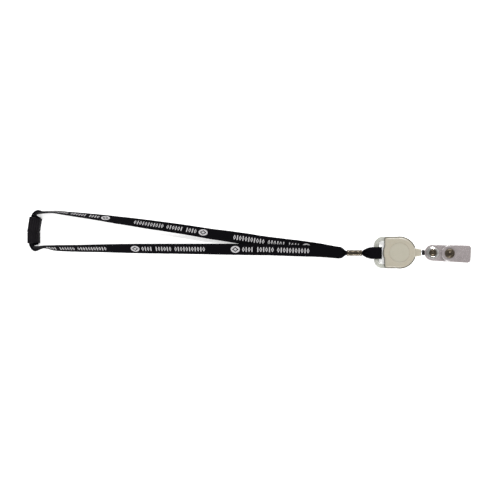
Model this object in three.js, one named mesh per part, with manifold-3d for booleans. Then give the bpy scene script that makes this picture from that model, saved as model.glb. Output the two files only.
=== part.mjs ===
// Lanyard badge holder: a half-inch webbing neck strap with a breakaway clasp, a metal crimp, a retractable
// badge reel and a clear vinyl badge strap. Millimetres, +Z up. The object lies flat, and the origin is the
// centre of the reel's flat back. +X runs from the clasp towards the badge strap.
import * as THREE from 'three';
import { mergeVertices } from 'three/addons/utils/BufferGeometryUtils.js';
import Module from 'manifold-3d';

const wasm = await Module();
wasm.setup();

// ---------------------------------------------------------------- driving dimensions
const GAP = 0.3;                    // clearance kept between touching pieces

const WEB_WIDTH = 12.5;             // half-inch webbing
const WEB_THICK = 1.0;
const GATHERED_WIDTH = 4.3;         // webbing pleated inside the crimp
const GATHERED_THICK = 1.7;

const CRIMP = { start: -53.4, end: -38, y: -0.5, z: 3.3, width: 6.2, height: 5.6, wall: 0.45 };

const REEL_RADIUS = 16.7;
const REEL_HALF = 16.5;             // half height of the straight sides behind the disc
const REEL_LEFT = -25.5;            // outer edge of the strap bar
const REEL_CORNER = 8.5;
const RIM_TOP = 8.4;
const FACE_TOP = 8.9;
const FLOOR = 1.2;
const EAR_X = -15.4;                // the disc's squared shoulders reach back to here
const EAR_RADIUS = 2.5;
const RIM_WALL = 0.8;
const FACE_WALL = 1.2;
const BAIL_BOTTOM = 1.8;
const BAIL_TOP = 6.8;
const SLOT_HALF = 12;
const BAR = { x: -22.85, z: 4.3, width: 5.2, thick: 4.2 };
const LABEL_RADIUS = 9.8;
const CORD_Z = 4.2;
const CORD_RADIUS = 0.5;
const NOSE_END = 21.8;

const POST_RADIUS = 1.6;
const DRUM_RADIUS = 10.2;
const FLANGE_RADIUS = 13.5;
const SPRING = { inner: 2.2, outer: 8.6, turns: 5, thick: 0.35, bottom: 3.2, top: 5.9 };
const WINDING = { inner: 10.5, outer: 12.4, bottom: 3.2, top: 5.4 };
const LEAD_RADIUS = 13.2;           // the cord leaves the winding on this circle

const STOP = { start: 22.9, end: 25.0, radius: 2.8 };
const RIVET_X = 33.6;
const RIVET_CAP_RADIUS = 6.2;
const SNAP_X = 49.8;
const FOLD_X = 69;
const STRAP_YAW = -2.3;             // degrees: the badge strap lies a little askew
const STRAP_Y = -0.2;               // the rivet stands this far off the cord's line
const STRAP_THICK = 0.8;
const STRAP_LOW = 3.4;              // underside of the lower layer
const FLAP_LOW = 6.3;               // underside of the folded-back layer
const STRAP_HALF_RIVET = 8.2;
const STRAP_HALF_FOLD = 8.8;

const CLASP_X = -415.9;
const CLASP_WIDTH = 14.6;
const CLASP_THICK = 6.0;
const CLASP_LOW = 0.4;              // underside of the clasp over the table
const SOCKET = { start: 10.5, end: 23.7 };
const PLUG_TILT = -10;              // degrees: the plug sits askew in the socket
const PLUG_Y = 25.6;                // middle of the plug's shoulder
const PLUG_LENGTH = 15.3;
const STRAP_POCKET = 7.5;           // depth of the plug's pocket for the webbing's end
const SOCKET_POCKET = 4.4;          // depth of the socket's pocket for the webbing's end

// ---------------------------------------------------------------- materials
function finish(colour, roughness, metalness = 0) {
  return new THREE.MeshStandardMaterial({ color: colour, roughness, metalness });
}

const WEBBING = finish(0x18181a, 0.85);
const BLACK_PLASTIC = finish(0x1b191c, 0.45);
const NICKEL = finish(0x9a938a, 0.28, 1);
const AGED_METAL = finish(0x6b6152, 0.35, 1);
const IVORY = finish(0xc3bca8, 0.4);
const CLEAR_PLASTIC = finish(0xd5d4cc, 0.25);
const LABEL = finish(0xbab4a0, 0.5);
const WHITE_PLASTIC = finish(0xdcdad2, 0.45);
const STEEL = finish(0x8d9094, 0.3, 1);
const CORD = finish(0x2a2a2c, 0.8);
const VINYL = finish(0xa59c98, 0.3);

// ---------------------------------------------------------------- geometry helpers
// A closed mesh as a solid that can be joined and cut.
function solid(geometry) {
  const bare = geometry.clone();
  bare.deleteAttribute('normal');
  bare.deleteAttribute('uv');
  const welded = mergeVertices(bare, 1e-4);
  return new wasm.Manifold(new wasm.Mesh({
    numProp: 3,
    vertProperties: new Float32Array(welded.attributes.position.array),
    triVerts: new Uint32Array(welded.index.array),
  }));
}

function geometryOf(manifold) {
  const mesh = manifold.getMesh();
  const geometry = new THREE.BufferGeometry();
  geometry.setAttribute('position', new THREE.BufferAttribute(new Float32Array(mesh.vertProperties), 3));
  geometry.setIndex(new THREE.BufferAttribute(new Uint32Array(mesh.triVerts), 1));
  geometry.computeVertexNormals();
  return geometry;
}

function piece(name, geometry, material) {
  const mesh = new THREE.Mesh(geometry, material);
  mesh.name = name;
  return mesh;
}

function box(x0, x1, y0, y1, z0, z1) {
  const geometry = new THREE.BoxGeometry(x1 - x0, y1 - y0, z1 - z0);
  return geometry.translate((x0 + x1) / 2, (y0 + y1) / 2, (z0 + z1) / 2);
}

// A cylinder standing on Z.
function drum(radius, z0, z1, x = 0, y = 0, sides = 48) {
  const geometry = new THREE.CylinderGeometry(radius, radius, z1 - z0, sides);
  return geometry.rotateX(Math.PI / 2).translate(x, y, (z0 + z1) / 2);
}

// A cylinder lying along X.
function rod(radius, x0, x1, y, z, sides = 20) {
  const geometry = new THREE.CylinderGeometry(radius, radius, x1 - x0, sides);
  return geometry.rotateZ(Math.PI / 2).translate((x0 + x1) / 2, y, z);
}

// A profile of [radius, height] points, turned about the Z axis.
function turned(profile, sides = 32) {
  const points = profile.map(([radius, height]) => new THREE.Vector2(radius, height));
  return new THREE.LatheGeometry(points, sides).rotateX(Math.PI / 2);
}

function slab(shape, z0, z1, bevel = 0, curveSegments = 24) {
  const geometry = new THREE.ExtrudeGeometry(shape, {
    depth: z1 - z0 - 2 * bevel,
    bevelEnabled: bevel > 0,
    bevelThickness: bevel,
    bevelSize: bevel,
    bevelOffset: -bevel,
    bevelSegments: 2,
    curveSegments,
  });
  return geometry.translate(0, 0, z0 + bevel);
}

function roundedRectangle(x0, x1, y0, y1, radius) {
  const shape = new THREE.Shape();
  shape.moveTo(x0 + radius, y0);
  shape.lineTo(x1 - radius, y0);
  shape.absarc(x1 - radius, y0 + radius, radius, -Math.PI / 2, 0, false);
  shape.lineTo(x1, y1 - radius);
  shape.absarc(x1 - radius, y1 - radius, radius, 0, Math.PI / 2, false);
  shape.lineTo(x0 + radius, y1);
  shape.absarc(x0 + radius, y1 - radius, radius, Math.PI / 2, Math.PI, false);
  shape.lineTo(x0, y0 + radius);
  shape.absarc(x0 + radius, y0 + radius, radius, Math.PI, 1.5 * Math.PI, false);
  return shape;
}

// ---------------------------------------------------------------- webbing
// Each route point is [x, y, roll, lift]: roll in degrees is how far the woven face leans to the right of the
// direction of travel, and lift is the height of the ribbon's lowest edge.
const NEAR_ROUTE = [
  [-415.9, 14.8, 0, 2.9],
  [-415.9, 12.4, 0, 2.9],
  [-415.9, 9.3, 0, 2.9],
  [-415.6, 6.9, 28, 1.1],
  [-413.9, 5.4, 54, 0.4],
  [-410.4, 5.2, 72, 0.3],
  [-404.2, 5.9, 81, 0.3],
  [-397.5, 5.7, 71, 0.3],
  [-391, 5, 62, 0.3],
  [-380, 4.7, 56, 0.3],
  [-358, 4.4, 51, 0.3],
  [-333, 4.5, 45, 0.3],
  [-309, 4.4, 37, 0.3],
  [-285, 4.2, 30, 0.3],
  [-261, 4.1, 27, 0.3],
  [-237, 3.9, 24, 0.3],
  [-212, 3.7, 18, 0.3],
  [-190, 3.5, 10, 0.4],
  [-170, 3.3, 4, 1.4],
  [-154, 3.1, 0, 1.7],
  [-138, 3.0, 0, 1.7],
  [-112, 2.1, 0, 1.7],
  [-86, 1.4, 0, 1.9],
  [-72, 0.6, 0, 2.2],
  [-63, -0.2, 0, 3.0],
  [-56, -0.5, 0, 3.5],
  [-47.5, -0.5, 0, 3.5],
];

const FAR_ROUTE = [
  [-387, 46.8, -76, 0.3],
  [-373, 45.0, -71, 0.3],
  [-358, 43.2, -65, 0.3],
  [-343, 41.3, -60, 0.3],
  [-328, 39.3, -54, 0.3],
  [-313, 37.1, -48, 0.3],
  [-294, 34.5, -42, 0.3],
  [-275, 31.7, -36, 0.3],
  [-256, 29.0, -33, 0.3],
  [-237, 26.2, -30, 0.3],
  [-219, 23.3, -27, 0.3],
  [-201, 20.3, -22, 0.3],
  [-187, 18.4, -14, 0.3],
  [-174, 16.4, -6, 0.3],
  [-160, 14.4, 0, 0.3],
  [-147, 12.2, 0, 0.3],
  [-125, 9.3, 0, 0.3],
  [-103, 6.6, 0, 0.3],
  [-85, 4.0, 0, 0.3],
  [-72, 1.6, 0, 0.5],
  [-63, 0.0, 0, 1.0],
  [-56, -0.5, 0, 1.4],
  [-47.5, -0.5, 0, 1.4],
];

// The stretch that turns the corner, from inside the plug to the start of the far leg.
const CORNER_ROUTE = [
  [-414.2, 35.2, 0, 2.9],
  [-413.7, 38.1, 0, 2.9],
  [-413, 42, 0, 2.9],
  [-412.4, 43.9, -25, 1.3],
  [-410.7, 45.4, -50, 0.4],
  [-407.2, 46, -69, 0.3],
  [-401.8, 46.4, -75, 0.3],
  [-395, 46.7, -76, 0.3],
  [-387.3, 46.9, -76, 0.3],
];

const GATHER_START = -63;
const GATHER_END = -53.8;
const SPREAD_START = -37.5;         // the loop opens out quickly behind the crimp
const SPREAD_END = -27;

function smooth(from, to, value) {
  return THREE.MathUtils.smoothstep(value, from, to);
}

// Bends a flat box along a route. sizeAt gives the ribbon's [width, thickness] at a point of the route.
function ribbon(centres, rolls, steps, sizeAt) {
  const curve = new THREE.CatmullRomCurve3(centres, false, 'centripetal');
  const rollCurve = new THREE.CatmullRomCurve3(rolls.map((roll) => new THREE.Vector3(roll, 0, 0)));
  const geometry = new THREE.BoxGeometry(1, 1, 1, steps, 1, 1);
  const position = geometry.attributes.position;
  for (let i = 0; i < position.count; i += 1) {
    const along = position.getX(i) + 0.5;
    const centre = curve.getPoint(along);
    const tangent = curve.getTangent(along);
    const roll = THREE.MathUtils.degToRad(rollCurve.getPoint(along).x);
    const side = new THREE.Vector3().crossVectors(tangent, new THREE.Vector3(0, 0, 1)).normalize();
    const up = new THREE.Vector3().crossVectors(side, tangent);
    const across = side.clone().multiplyScalar(Math.cos(roll)).addScaledVector(up, -Math.sin(roll));
    const normal = up.clone().multiplyScalar(Math.cos(roll)).addScaledVector(side, Math.sin(roll));
    const [width, thick] = sizeAt(centre);
    centre.addScaledVector(across, -position.getY(i) * width);
    centre.addScaledVector(normal, position.getZ(i) * thick);
    position.setXYZ(i, centre.x, centre.y, centre.z);
  }
  geometry.computeVertexNormals();
  return geometry;
}

function legSize(centre) {
  const gathered = smooth(GATHER_START, GATHER_END, centre.x) ** 2;
  return [
    THREE.MathUtils.lerp(WEB_WIDTH, GATHERED_WIDTH, gathered),
    THREE.MathUtils.lerp(WEB_THICK, GATHERED_THICK, gathered),
  ];
}

function leg(name, route, steps) {
  const centres = route.map(([x, y, roll, lift]) => {
    const lean = THREE.MathUtils.degToRad(Math.abs(roll));
    const [width, thick] = legSize(new THREE.Vector3(x, y, 0));
    return new THREE.Vector3(x, y, lift + (width * Math.sin(lean) + thick * Math.cos(lean)) / 2);
  });
  return piece(name, ribbon(centres, route.map((point) => point[2]), steps, legSize), WEBBING);
}

const LOOP_RADIUS = 3.5;            // middle of the webbing's thickness where it turns round the bar
const LOOP_SLACK = 1.5;             // how far the turn stands off the bar's centre
const LOOP_ROUTE = [
  [-44.5, 4.3], [-38.5, 4.35], [-35.5, 5.2], [-31.5, 6.5], [-27.5, 7.5],
  ...[90, 60, 30, 0, -30, -60, -90].map((degrees) => {
    const angle = THREE.MathUtils.degToRad(degrees);
    return [BAR.x + LOOP_SLACK + LOOP_RADIUS * Math.cos(angle), BAR.z + LOOP_RADIUS * Math.sin(angle)];
  }),
  [-27.5, 1.0], [-31.5, 1.3], [-35.5, 1.8], [-38.5, 2.25], [-44.5, 2.3],
];

function loopSize(centre) {
  const folded = 1 - THREE.MathUtils.clamp(
    THREE.MathUtils.inverseLerp(SPREAD_START, SPREAD_END, centre.x), 0, 1);
  const spread = 1 - folded ** 2;
  return [
    THREE.MathUtils.lerp(GATHERED_WIDTH, WEB_WIDTH, spread),
    THREE.MathUtils.lerp(GATHERED_THICK, WEB_THICK, spread),
  ];
}

// The loop through the reel's slot lies in an upright plane, so its side direction is fixed.
function reelLoop() {
  const curve = new THREE.CatmullRomCurve3(
    LOOP_ROUTE.map(([x, z]) => new THREE.Vector3(x, CRIMP.y, z)), false, 'centripetal');
  const geometry = new THREE.BoxGeometry(1, 1, 1, 60, 1, 1);
  const position = geometry.attributes.position;
  for (let i = 0; i < position.count; i += 1) {
    const along = position.getX(i) + 0.5;
    const centre = curve.getPoint(along);
    const tangent = curve.getTangent(along);
    const outward = new THREE.Vector3(-tangent.z, 0, tangent.x);
    const [width, thick] = loopSize(centre);
    centre.y += position.getY(i) * width;
    centre.addScaledVector(outward, position.getZ(i) * thick);
    position.setXYZ(i, centre.x, centre.y, centre.z);
  }
  geometry.computeVertexNormals();
  return piece('reel_loop', geometry, WEBBING);
}

function crimpBarrel() {
  const { start, end, width, height, wall } = CRIMP;
  const outer = roundedRectangle(-width / 2, width / 2, -height / 2, height / 2, 2.2);
  const halfIn = width / 2 - wall;
  const halfUp = height / 2 - wall;
  outer.holes.push(roundedRectangle(-halfIn, halfIn, -halfUp, halfUp, 1.1));
  const geometry = new THREE.ExtrudeGeometry(outer, { depth: end - start, bevelEnabled: false, curveSegments: 8 });
  geometry.rotateX(Math.PI / 2).rotateZ(Math.PI / 2).translate(start, CRIMP.y, CRIMP.z);
  return piece('crimp_barrel', geometry, NICKEL);
}

// ---------------------------------------------------------------- breakaway clasp
const CLASP_MID = CLASP_LOW + CLASP_THICK / 2;
const PRONG = { half: 3.6, length: 6.5, half_z: 1.3 };
const SOCKET_CAVITY = { half: 5.6, depth: 8.2, half_z: 1.7 };
const POCKET = { half: 6.6, half_z: 1.7 };

function claspBody(length) {
  const shape = roundedRectangle(-CLASP_WIDTH / 2, CLASP_WIDTH / 2, 0, length, 1.6);
  return solid(slab(shape, CLASP_LOW, CLASP_LOW + CLASP_THICK, 1.1, 6));
}

// Shallow lengthwise grooves on the upper face.
function gripGrooves(length) {
  const top = CLASP_LOW + CLASP_THICK;
  return [-4.2, -1.4, 1.4, 4.2].map((x) => solid(box(x - 0.35, x + 0.35, 2.2, length - 2.2, top - 0.3, top + 1)));
}

function socketShell() {
  const length = SOCKET.end - SOCKET.start;
  const { half, depth, half_z: halfZ } = SOCKET_CAVITY;
  let body = claspBody(length);
  body = body.subtract(solid(box(-half, half, length - depth, length + 1, CLASP_MID - halfZ, CLASP_MID + halfZ)));
  const pocketZ = POCKET.half_z;
  body = body.subtract(solid(box(-POCKET.half, POCKET.half, -1, SOCKET_POCKET, CLASP_MID - pocketZ, CLASP_MID + pocketZ)));
  for (const groove of gripGrooves(length)) body = body.subtract(groove);
  const mesh = piece('clasp_socket_shell', geometryOf(body), BLACK_PLASTIC);
  mesh.position.set(CLASP_X, SOCKET.start, 0);
  return mesh;
}

// A slim block behind the plug's shoulder, split into two springy prongs with a barb on each.
function plugProngs() {
  const shape = new THREE.Shape();
  const { half, length } = PRONG;
  shape.moveTo(half, 1.2);
  shape.lineTo(-half, 1.2);
  shape.lineTo(-half, -length + 2.4);
  shape.lineTo(-half - 0.5, -length + 1.7);
  shape.lineTo(-half + 0.6, -length);
  shape.lineTo(-1.1, -length);
  shape.lineTo(-1.1, -1.2);
  shape.lineTo(1.1, -1.2);
  shape.lineTo(1.1, -length);
  shape.lineTo(half - 0.6, -length);
  shape.lineTo(half + 0.5, -length + 1.7);
  shape.lineTo(half, -length + 2.4);
  return solid(slab(shape, CLASP_MID - PRONG.half_z, CLASP_MID + PRONG.half_z));
}

// The plug's shoulder, cut on the skew so that it meets the socket's mouth squarely.
function plugShoulder() {
  const half = CLASP_WIDTH / 2 - 0.5;
  const shape = new THREE.Shape();
  shape.moveTo(half, 1);
  shape.lineTo(-half, 1);
  shape.lineTo(-half, -2.75);
  shape.lineTo(half, -0.4);
  return solid(slab(shape, CLASP_LOW + 0.4, CLASP_LOW + CLASP_THICK - 0.4, 0.3));
}

function plugShell() {
  let body = claspBody(PLUG_LENGTH);
  body = body.add(plugShoulder());
  body = body.add(plugProngs());
  const open = PLUG_LENGTH - STRAP_POCKET;
  const pocketZ = POCKET.half_z;
  body = body.subtract(solid(
    box(-POCKET.half, POCKET.half, open, PLUG_LENGTH + 1, CLASP_MID - pocketZ, CLASP_MID + pocketZ)));
  for (const groove of gripGrooves(PLUG_LENGTH)) body = body.subtract(groove);
  return piece('clasp_plug_shell', geometryOf(body), BLACK_PLASTIC);
}

// The insert that jams the webbing's end in its pocket: a toothed wedge under the webbing.
function wedge(name, y0, y1) {
  const shape = new THREE.Shape();
  const low = CLASP_MID - POCKET.half_z + GAP;
  const high = CLASP_MID - WEB_THICK / 2 - GAP;
  shape.moveTo(y0, low);
  shape.lineTo(y1, low);
  shape.lineTo(y1, high);
  shape.lineTo(y1 - (y1 - y0) / 3, high - 0.25);
  shape.lineTo(y1 - (y1 - y0) / 3, high);
  shape.lineTo(y0 + (y1 - y0) / 3, high - 0.25);
  shape.lineTo(y0 + (y1 - y0) / 3, high);
  shape.lineTo(y0, high - 0.25);
  const geometry = new THREE.ExtrudeGeometry(shape, { depth: 2 * (POCKET.half - 0.6), bevelEnabled: false });
  geometry.translate(0, 0, -(POCKET.half - 0.6)).rotateY(Math.PI / 2).rotateX(Math.PI / 2);
  return piece(name, geometry, BLACK_PLASTIC);
}

function claspPlug() {
  const group = new THREE.Group();
  group.position.set(CLASP_X, PLUG_Y, 0);
  group.rotation.z = THREE.MathUtils.degToRad(PLUG_TILT);
  group.add(plugShell());
  group.add(wedge('clasp_plug_wedge', PLUG_LENGTH - STRAP_POCKET + GAP, PLUG_LENGTH - 0.4));
  return group;
}

function socketWedge() {
  const mesh = wedge('clasp_socket_wedge', 0.4, SOCKET_POCKET - GAP);
  mesh.position.set(CLASP_X, SOCKET.start, 0);
  return mesh;
}

// ---------------------------------------------------------------- reel casing
// The disc with its squared shoulders, shrunk by inset, from z0 to z1.
function reelDisc(inset, z0, z1) {
  const shoulder = roundedRectangle(
    EAR_X + inset, 4, -(REEL_HALF - inset), REEL_HALF - inset, EAR_RADIUS);
  return solid(drum(REEL_RADIUS - inset, z0, z1, 0, 0, 72)).add(solid(slab(shoulder, z0, z1, 0, 6)));
}

function bailOutline() {
  const shape = new THREE.Shape();
  const corner = REEL_LEFT + REEL_CORNER;
  shape.moveTo(-2, REEL_HALF);
  shape.lineTo(corner, REEL_HALF);
  shape.absarc(corner, REEL_HALF - REEL_CORNER, REEL_CORNER, Math.PI / 2, Math.PI, false);
  shape.lineTo(REEL_LEFT, -(REEL_HALF - REEL_CORNER));
  shape.absarc(corner, -(REEL_HALF - REEL_CORNER), REEL_CORNER, Math.PI, 1.5 * Math.PI, false);
  shape.lineTo(-2, -REEL_HALF);
  return shape;
}

function strapBar() {
  const { x, z, width, thick } = BAR;
  const section = roundedRectangle(-width / 2, width / 2, -thick / 2, thick / 2, thick / 2 - 0.05);
  const length = 2 * SLOT_HALF + 1.2;
  const geometry = new THREE.ExtrudeGeometry(section, { depth: length, bevelEnabled: false, curveSegments: 6 });
  return solid(geometry.rotateX(Math.PI / 2).translate(x, length / 2, z));
}

function reelBackShell() {
  let bail = solid(slab(bailOutline(), BAIL_BOTTOM, BAIL_TOP, 0.8, 10));
  bail = bail.subtract(solid(box(REEL_LEFT - 1, -4, -SLOT_HALF, SLOT_HALF, 0, RIM_TOP)));
  let shell = reelDisc(0, 0, RIM_TOP).add(bail).add(strapBar());
  shell = shell.subtract(reelDisc(RIM_WALL, FLOOR, RIM_TOP + 1));
  shell = shell.subtract(solid(box(12, REEL_RADIUS + 2, -4.8, 4.8, FLOOR, RIM_TOP + 1)));
  return piece('reel_back_shell', geometryOf(shell), CLEAR_PLASTIC);
}

function noseSolid() {
  const shape = new THREE.Shape();
  shape.moveTo(12, -4.4);
  shape.lineTo(16.5, -4.4);
  shape.lineTo(19.5, -3.7);
  shape.lineTo(NOSE_END, -3.5);
  shape.lineTo(NOSE_END, 3.5);
  shape.lineTo(19.5, 3.7);
  shape.lineTo(16.5, 4.4);
  shape.lineTo(12, 4.4);
  return solid(slab(shape, FLOOR + GAP, 7.2, 0.5));
}

function reelFrontShell() {
  const inset = RIM_WALL + GAP;
  let shell = reelDisc(inset, FLOOR + GAP, FACE_TOP).add(noseSolid());
  shell = shell.subtract(reelDisc(inset + FACE_WALL, FLOOR, 7.2));
  shell = shell.subtract(solid(rod(1.7, 12, NOSE_END + 1, 0, CORD_Z)));
  shell = shell.subtract(solid(box(12, 16.6, -3.4, 3.4, CORD_Z - 1.5, CORD_Z + 1.5)));
  shell = shell.subtract(solid(drum(LABEL_RADIUS + GAP, FACE_TOP - 0.8, FACE_TOP + 1)));
  return piece('reel_front_shell', geometryOf(shell), IVORY);
}

function reelLabel() {
  return piece('reel_label', drum(LABEL_RADIUS, FACE_TOP - 0.5, FACE_TOP - 0.05), LABEL);
}

// A flanged eyelet lining the nose, turned about the cord's line.
function cordBushing() {
  const geometry = turned([[0.8, 0], [1.35, 0], [1.35, 2.4], [2.4, 2.4], [2.4, 2.8], [0.8, 2.8], [0.8, 0]], 20);
  geometry.rotateY(Math.PI / 2).translate(NOSE_END - 2.1, 0, CORD_Z);
  return piece('cord_bushing', geometry, STEEL);
}

// ---------------------------------------------------------------- reel works
function spoolPost() {
  const profile = [[0, 1.5], [2.8, 1.5], [2.8, 2.0], [POST_RADIUS, 2.0], [POST_RADIUS, 6.9], [0, 6.9]];
  return piece('spool_post', turned(profile, 20), WHITE_PLASTIC);
}

function spool() {
  const bore = POST_RADIUS + 0.35;
  const wall = 1;
  const profile = [
    [bore, 2.3], [FLANGE_RADIUS, 2.3], [FLANGE_RADIUS, 2.9], [DRUM_RADIUS, 2.9], [DRUM_RADIUS, 5.7],
    [FLANGE_RADIUS, 5.7], [FLANGE_RADIUS, 6.3], [DRUM_RADIUS - wall, 6.3], [DRUM_RADIUS - wall, 2.9],
    [bore, 2.9], [bore, 2.3],
  ];
  return piece('spool', turned(profile, 48), WHITE_PLASTIC);
}

// A flat steel strip wound into a spiral inside the drum.
function spiralSpring() {
  const { inner, outer, turns, thick, bottom, top } = SPRING;
  const steps = turns * 22;
  const geometry = new THREE.BoxGeometry(1, 1, 1, steps, 1, 1);
  const position = geometry.attributes.position;
  for (let i = 0; i < position.count; i += 1) {
    const along = position.getX(i) + 0.5;
    const angle = along * turns * 2 * Math.PI;
    const radius = THREE.MathUtils.lerp(inner, outer, along) + position.getZ(i) * thick;
    const height = THREE.MathUtils.lerp(bottom, top, position.getY(i) + 0.5);
    position.setXYZ(i, radius * Math.cos(angle), radius * Math.sin(angle), height);
  }
  geometry.computeVertexNormals();
  return piece('spiral_spring', geometry, STEEL);
}

function cordWinding() {
  const { inner, outer, bottom, top } = WINDING;
  const soften = 0.5;
  const profile = [
    [inner, bottom + soften], [inner + soften, bottom], [outer - soften, bottom], [outer, bottom + soften],
    [outer, top - soften], [outer - soften, top], [inner + soften, top], [inner, top - soften],
    [inner, bottom + soften],
  ];
  return piece('cord_winding', turned(profile, 48), CORD);
}

function tube(name, points, radius, steps, sides, material) {
  const section = new THREE.Shape();
  section.absarc(0, 0, radius, 0, 2 * Math.PI, false);
  const path = new THREE.CatmullRomCurve3(points);
  const geometry = new THREE.ExtrudeGeometry(section, {
    extrudePath: path, steps, bevelEnabled: false, curveSegments: sides,
  });
  return piece(name, geometry, material);
}

// The cord's short stretch from the winding round into the nose.
function cordLead() {
  const leave = THREE.MathUtils.degToRad(-31);
  const start = new THREE.Vector3(LEAD_RADIUS * Math.cos(leave), LEAD_RADIUS * Math.sin(leave), CORD_Z);
  const points = [
    start,
    new THREE.Vector3(12.9, -4.2, CORD_Z),
    new THREE.Vector3(14.1, -1.7, CORD_Z),
    new THREE.Vector3(15.6, -0.3, CORD_Z),
    new THREE.Vector3(17.4, 0, CORD_Z),
    new THREE.Vector3(18.2, 0, CORD_Z),
  ];
  return tube('cord_lead', points, CORD_RADIUS, 12, 8, CORD);
}

function pullCord() {
  return piece('pull_cord', rod(CORD_RADIUS, 18.5, 23.6, 0, CORD_Z, 10), CORD);
}

// The moulded stop on the cord's end, hollowed on its far side for the knot.
function cordStop() {
  const length = STOP.end - STOP.start;
  const edge = 0.5;
  const profile = [
    [0.8, 0], [STOP.radius - edge, 0], [STOP.radius, edge], [STOP.radius, length - edge],
    [STOP.radius - edge, length], [2.0, length], [2.0, 0.85], [0.8, 0.85], [0.8, 0],
  ];
  const geometry = turned(profile, 28).rotateY(Math.PI / 2).translate(STOP.start, 0, CORD_Z);
  return piece('cord_stop', geometry, BLACK_PLASTIC);
}

function cordKnot() {
  const geometry = new THREE.SphereGeometry(1.2, 12, 8).scale(0.42, 1, 1).translate(24.45, 0, CORD_Z);
  return piece('cord_knot', geometry, CORD);
}

// ---------------------------------------------------------------- badge strap
function linkTab() {
  const shape = new THREE.Shape();
  const eye = 4.6;
  const neck = 2.5;
  const reach = Math.sqrt(eye * eye - neck * neck);
  const neckAngle = Math.atan2(neck, -reach);
  shape.moveTo(STOP.end + GAP, -neck);
  shape.lineTo(RIVET_X - reach, -neck);
  shape.absarc(RIVET_X, 0, eye, -neckAngle, neckAngle, false);
  shape.lineTo(STOP.end + GAP, neck);
  shape.holes.push(new THREE.Path().absarc(RIVET_X, 0, 1.8, 0, 2 * Math.PI, true));
  const geometry = slab(shape, 2.3, STRAP_LOW - GAP, 0, 12).translate(0, STRAP_Y, 0);
  return piece('link_tab', geometry, NICKEL);
}

// One layer of the vinyl strip, round at its end and a little wider at the fold. Local x=0 is the rivet.
function vinylLayer(name, endX, endRadius, holes, z0) {
  const fold = FOLD_X - RIVET_X - GAP;
  const halfAt = (x) => THREE.MathUtils.mapLinear(x, 0, fold, STRAP_HALF_RIVET, STRAP_HALF_FOLD);
  const shape = new THREE.Shape();
  const half = halfAt(endX);
  shape.moveTo(fold, -STRAP_HALF_FOLD);
  shape.lineTo(fold, STRAP_HALF_FOLD);
  shape.lineTo(endX, half);
  shape.absellipse(endX, 0, endRadius, half, Math.PI / 2, 1.5 * Math.PI, false);
  for (const [x, radius] of holes) {
    shape.holes.push(new THREE.Path().absarc(x, 0, radius, 0, 2 * Math.PI, true));
  }
  return piece(name, slab(shape, z0, z0 + STRAP_THICK, 0, 14), VINYL);
}

// The fold itself: half a ring about the fold's axis.
function strapBend() {
  const inner = (FLAP_LOW - STRAP_LOW - STRAP_THICK) / 2;
  const shape = new THREE.Shape();
  shape.absarc(0, 0, inner + STRAP_THICK, -Math.PI / 2, Math.PI / 2, false);
  shape.absarc(0, 0, inner, Math.PI / 2, -Math.PI / 2, true);
  const geometry = new THREE.ExtrudeGeometry(shape, {
    depth: 2 * STRAP_HALF_FOLD, bevelEnabled: false, curveSegments: 12,
  });
  geometry.rotateX(Math.PI / 2);
  geometry.translate(FOLD_X - RIVET_X, STRAP_HALF_FOLD, (STRAP_LOW + FLAP_LOW + STRAP_THICK) / 2);
  return piece('strap_bend', geometry, VINYL);
}

// A domed cap on a short shank, turned about Z. The shank runs from z0 up to the dome's base at z1.
function domedCap(name, x, radius, height, z1, shankRadius, z0, material) {
  const profile = [[0, z0], [shankRadius, z0], [shankRadius, z1], [radius - 0.3, z1], [radius, z1 + 0.3]];
  const steps = 5;
  for (let i = 1; i < steps; i += 1) {
    const angle = (i / steps) * (Math.PI / 2);
    profile.push([radius * Math.cos(angle), z1 + 0.3 + (height - 0.3) * Math.sin(angle)]);
  }
  profile.push([0, z1 + height]);
  return piece(name, turned(profile, 32).translate(x, 0, 0), material);
}

// A flange with a shank standing on it.
function flangedPost(name, x, flange, z0, z1, shank, z2, material) {
  const profile = [[0, z0], [flange, z0], [flange, z1], [shank, z1], [shank, z2], [0, z2]];
  return piece(name, turned(profile, 28).translate(x, 0, 0), material);
}

function snapSocket(x) {
  const profile = [[2.1, 5.2], [3.6, 5.2], [3.8, 5.5], [3.8, 6.0], [2.1, 6.0], [2.1, 5.2]];
  return piece('snap_socket', turned(profile, 28).translate(x, 0, 0), NICKEL);
}

function badgeStrap() {
  const group = new THREE.Group();
  const snap = SNAP_X - RIVET_X;
  group.position.set(RIVET_X, STRAP_Y, 0);
  group.rotation.z = THREE.MathUtils.degToRad(STRAP_YAW);
  const lowerTop = STRAP_LOW + STRAP_THICK;
  const flapTop = FLAP_LOW + STRAP_THICK;
  group.add(vinylLayer('strap_lower_layer', 0, 8.0, [[0, 1.8], [snap, 1.6]], STRAP_LOW));
  group.add(strapBend());
  group.add(vinylLayer('strap_flap', snap, 7.9, [[snap, 1.6]], FLAP_LOW));
  group.add(flangedPost('rivet_post', 0, 3.2, 1.2, 2.0, 1.4, lowerTop, NICKEL));
  group.add(domedCap('rivet_cap', 0, RIVET_CAP_RADIUS, 1.5, lowerTop + GAP, 1, lowerTop + GAP - 0.02, NICKEL));
  group.add(flangedPost('snap_post', snap, 3.6, 2.4, STRAP_LOW - GAP, 1.3, lowerTop, NICKEL));
  group.add(flangedPost('snap_stud', snap, 3.4, lowerTop + GAP, lowerTop + 0.7, 1.8, 5.9, NICKEL));
  group.add(snapSocket(snap));
  group.add(domedCap('snap_cap', snap, 4.9, 1.1, flapTop + GAP, 1.3, FLAP_LOW, AGED_METAL));
  return group;
}

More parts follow.
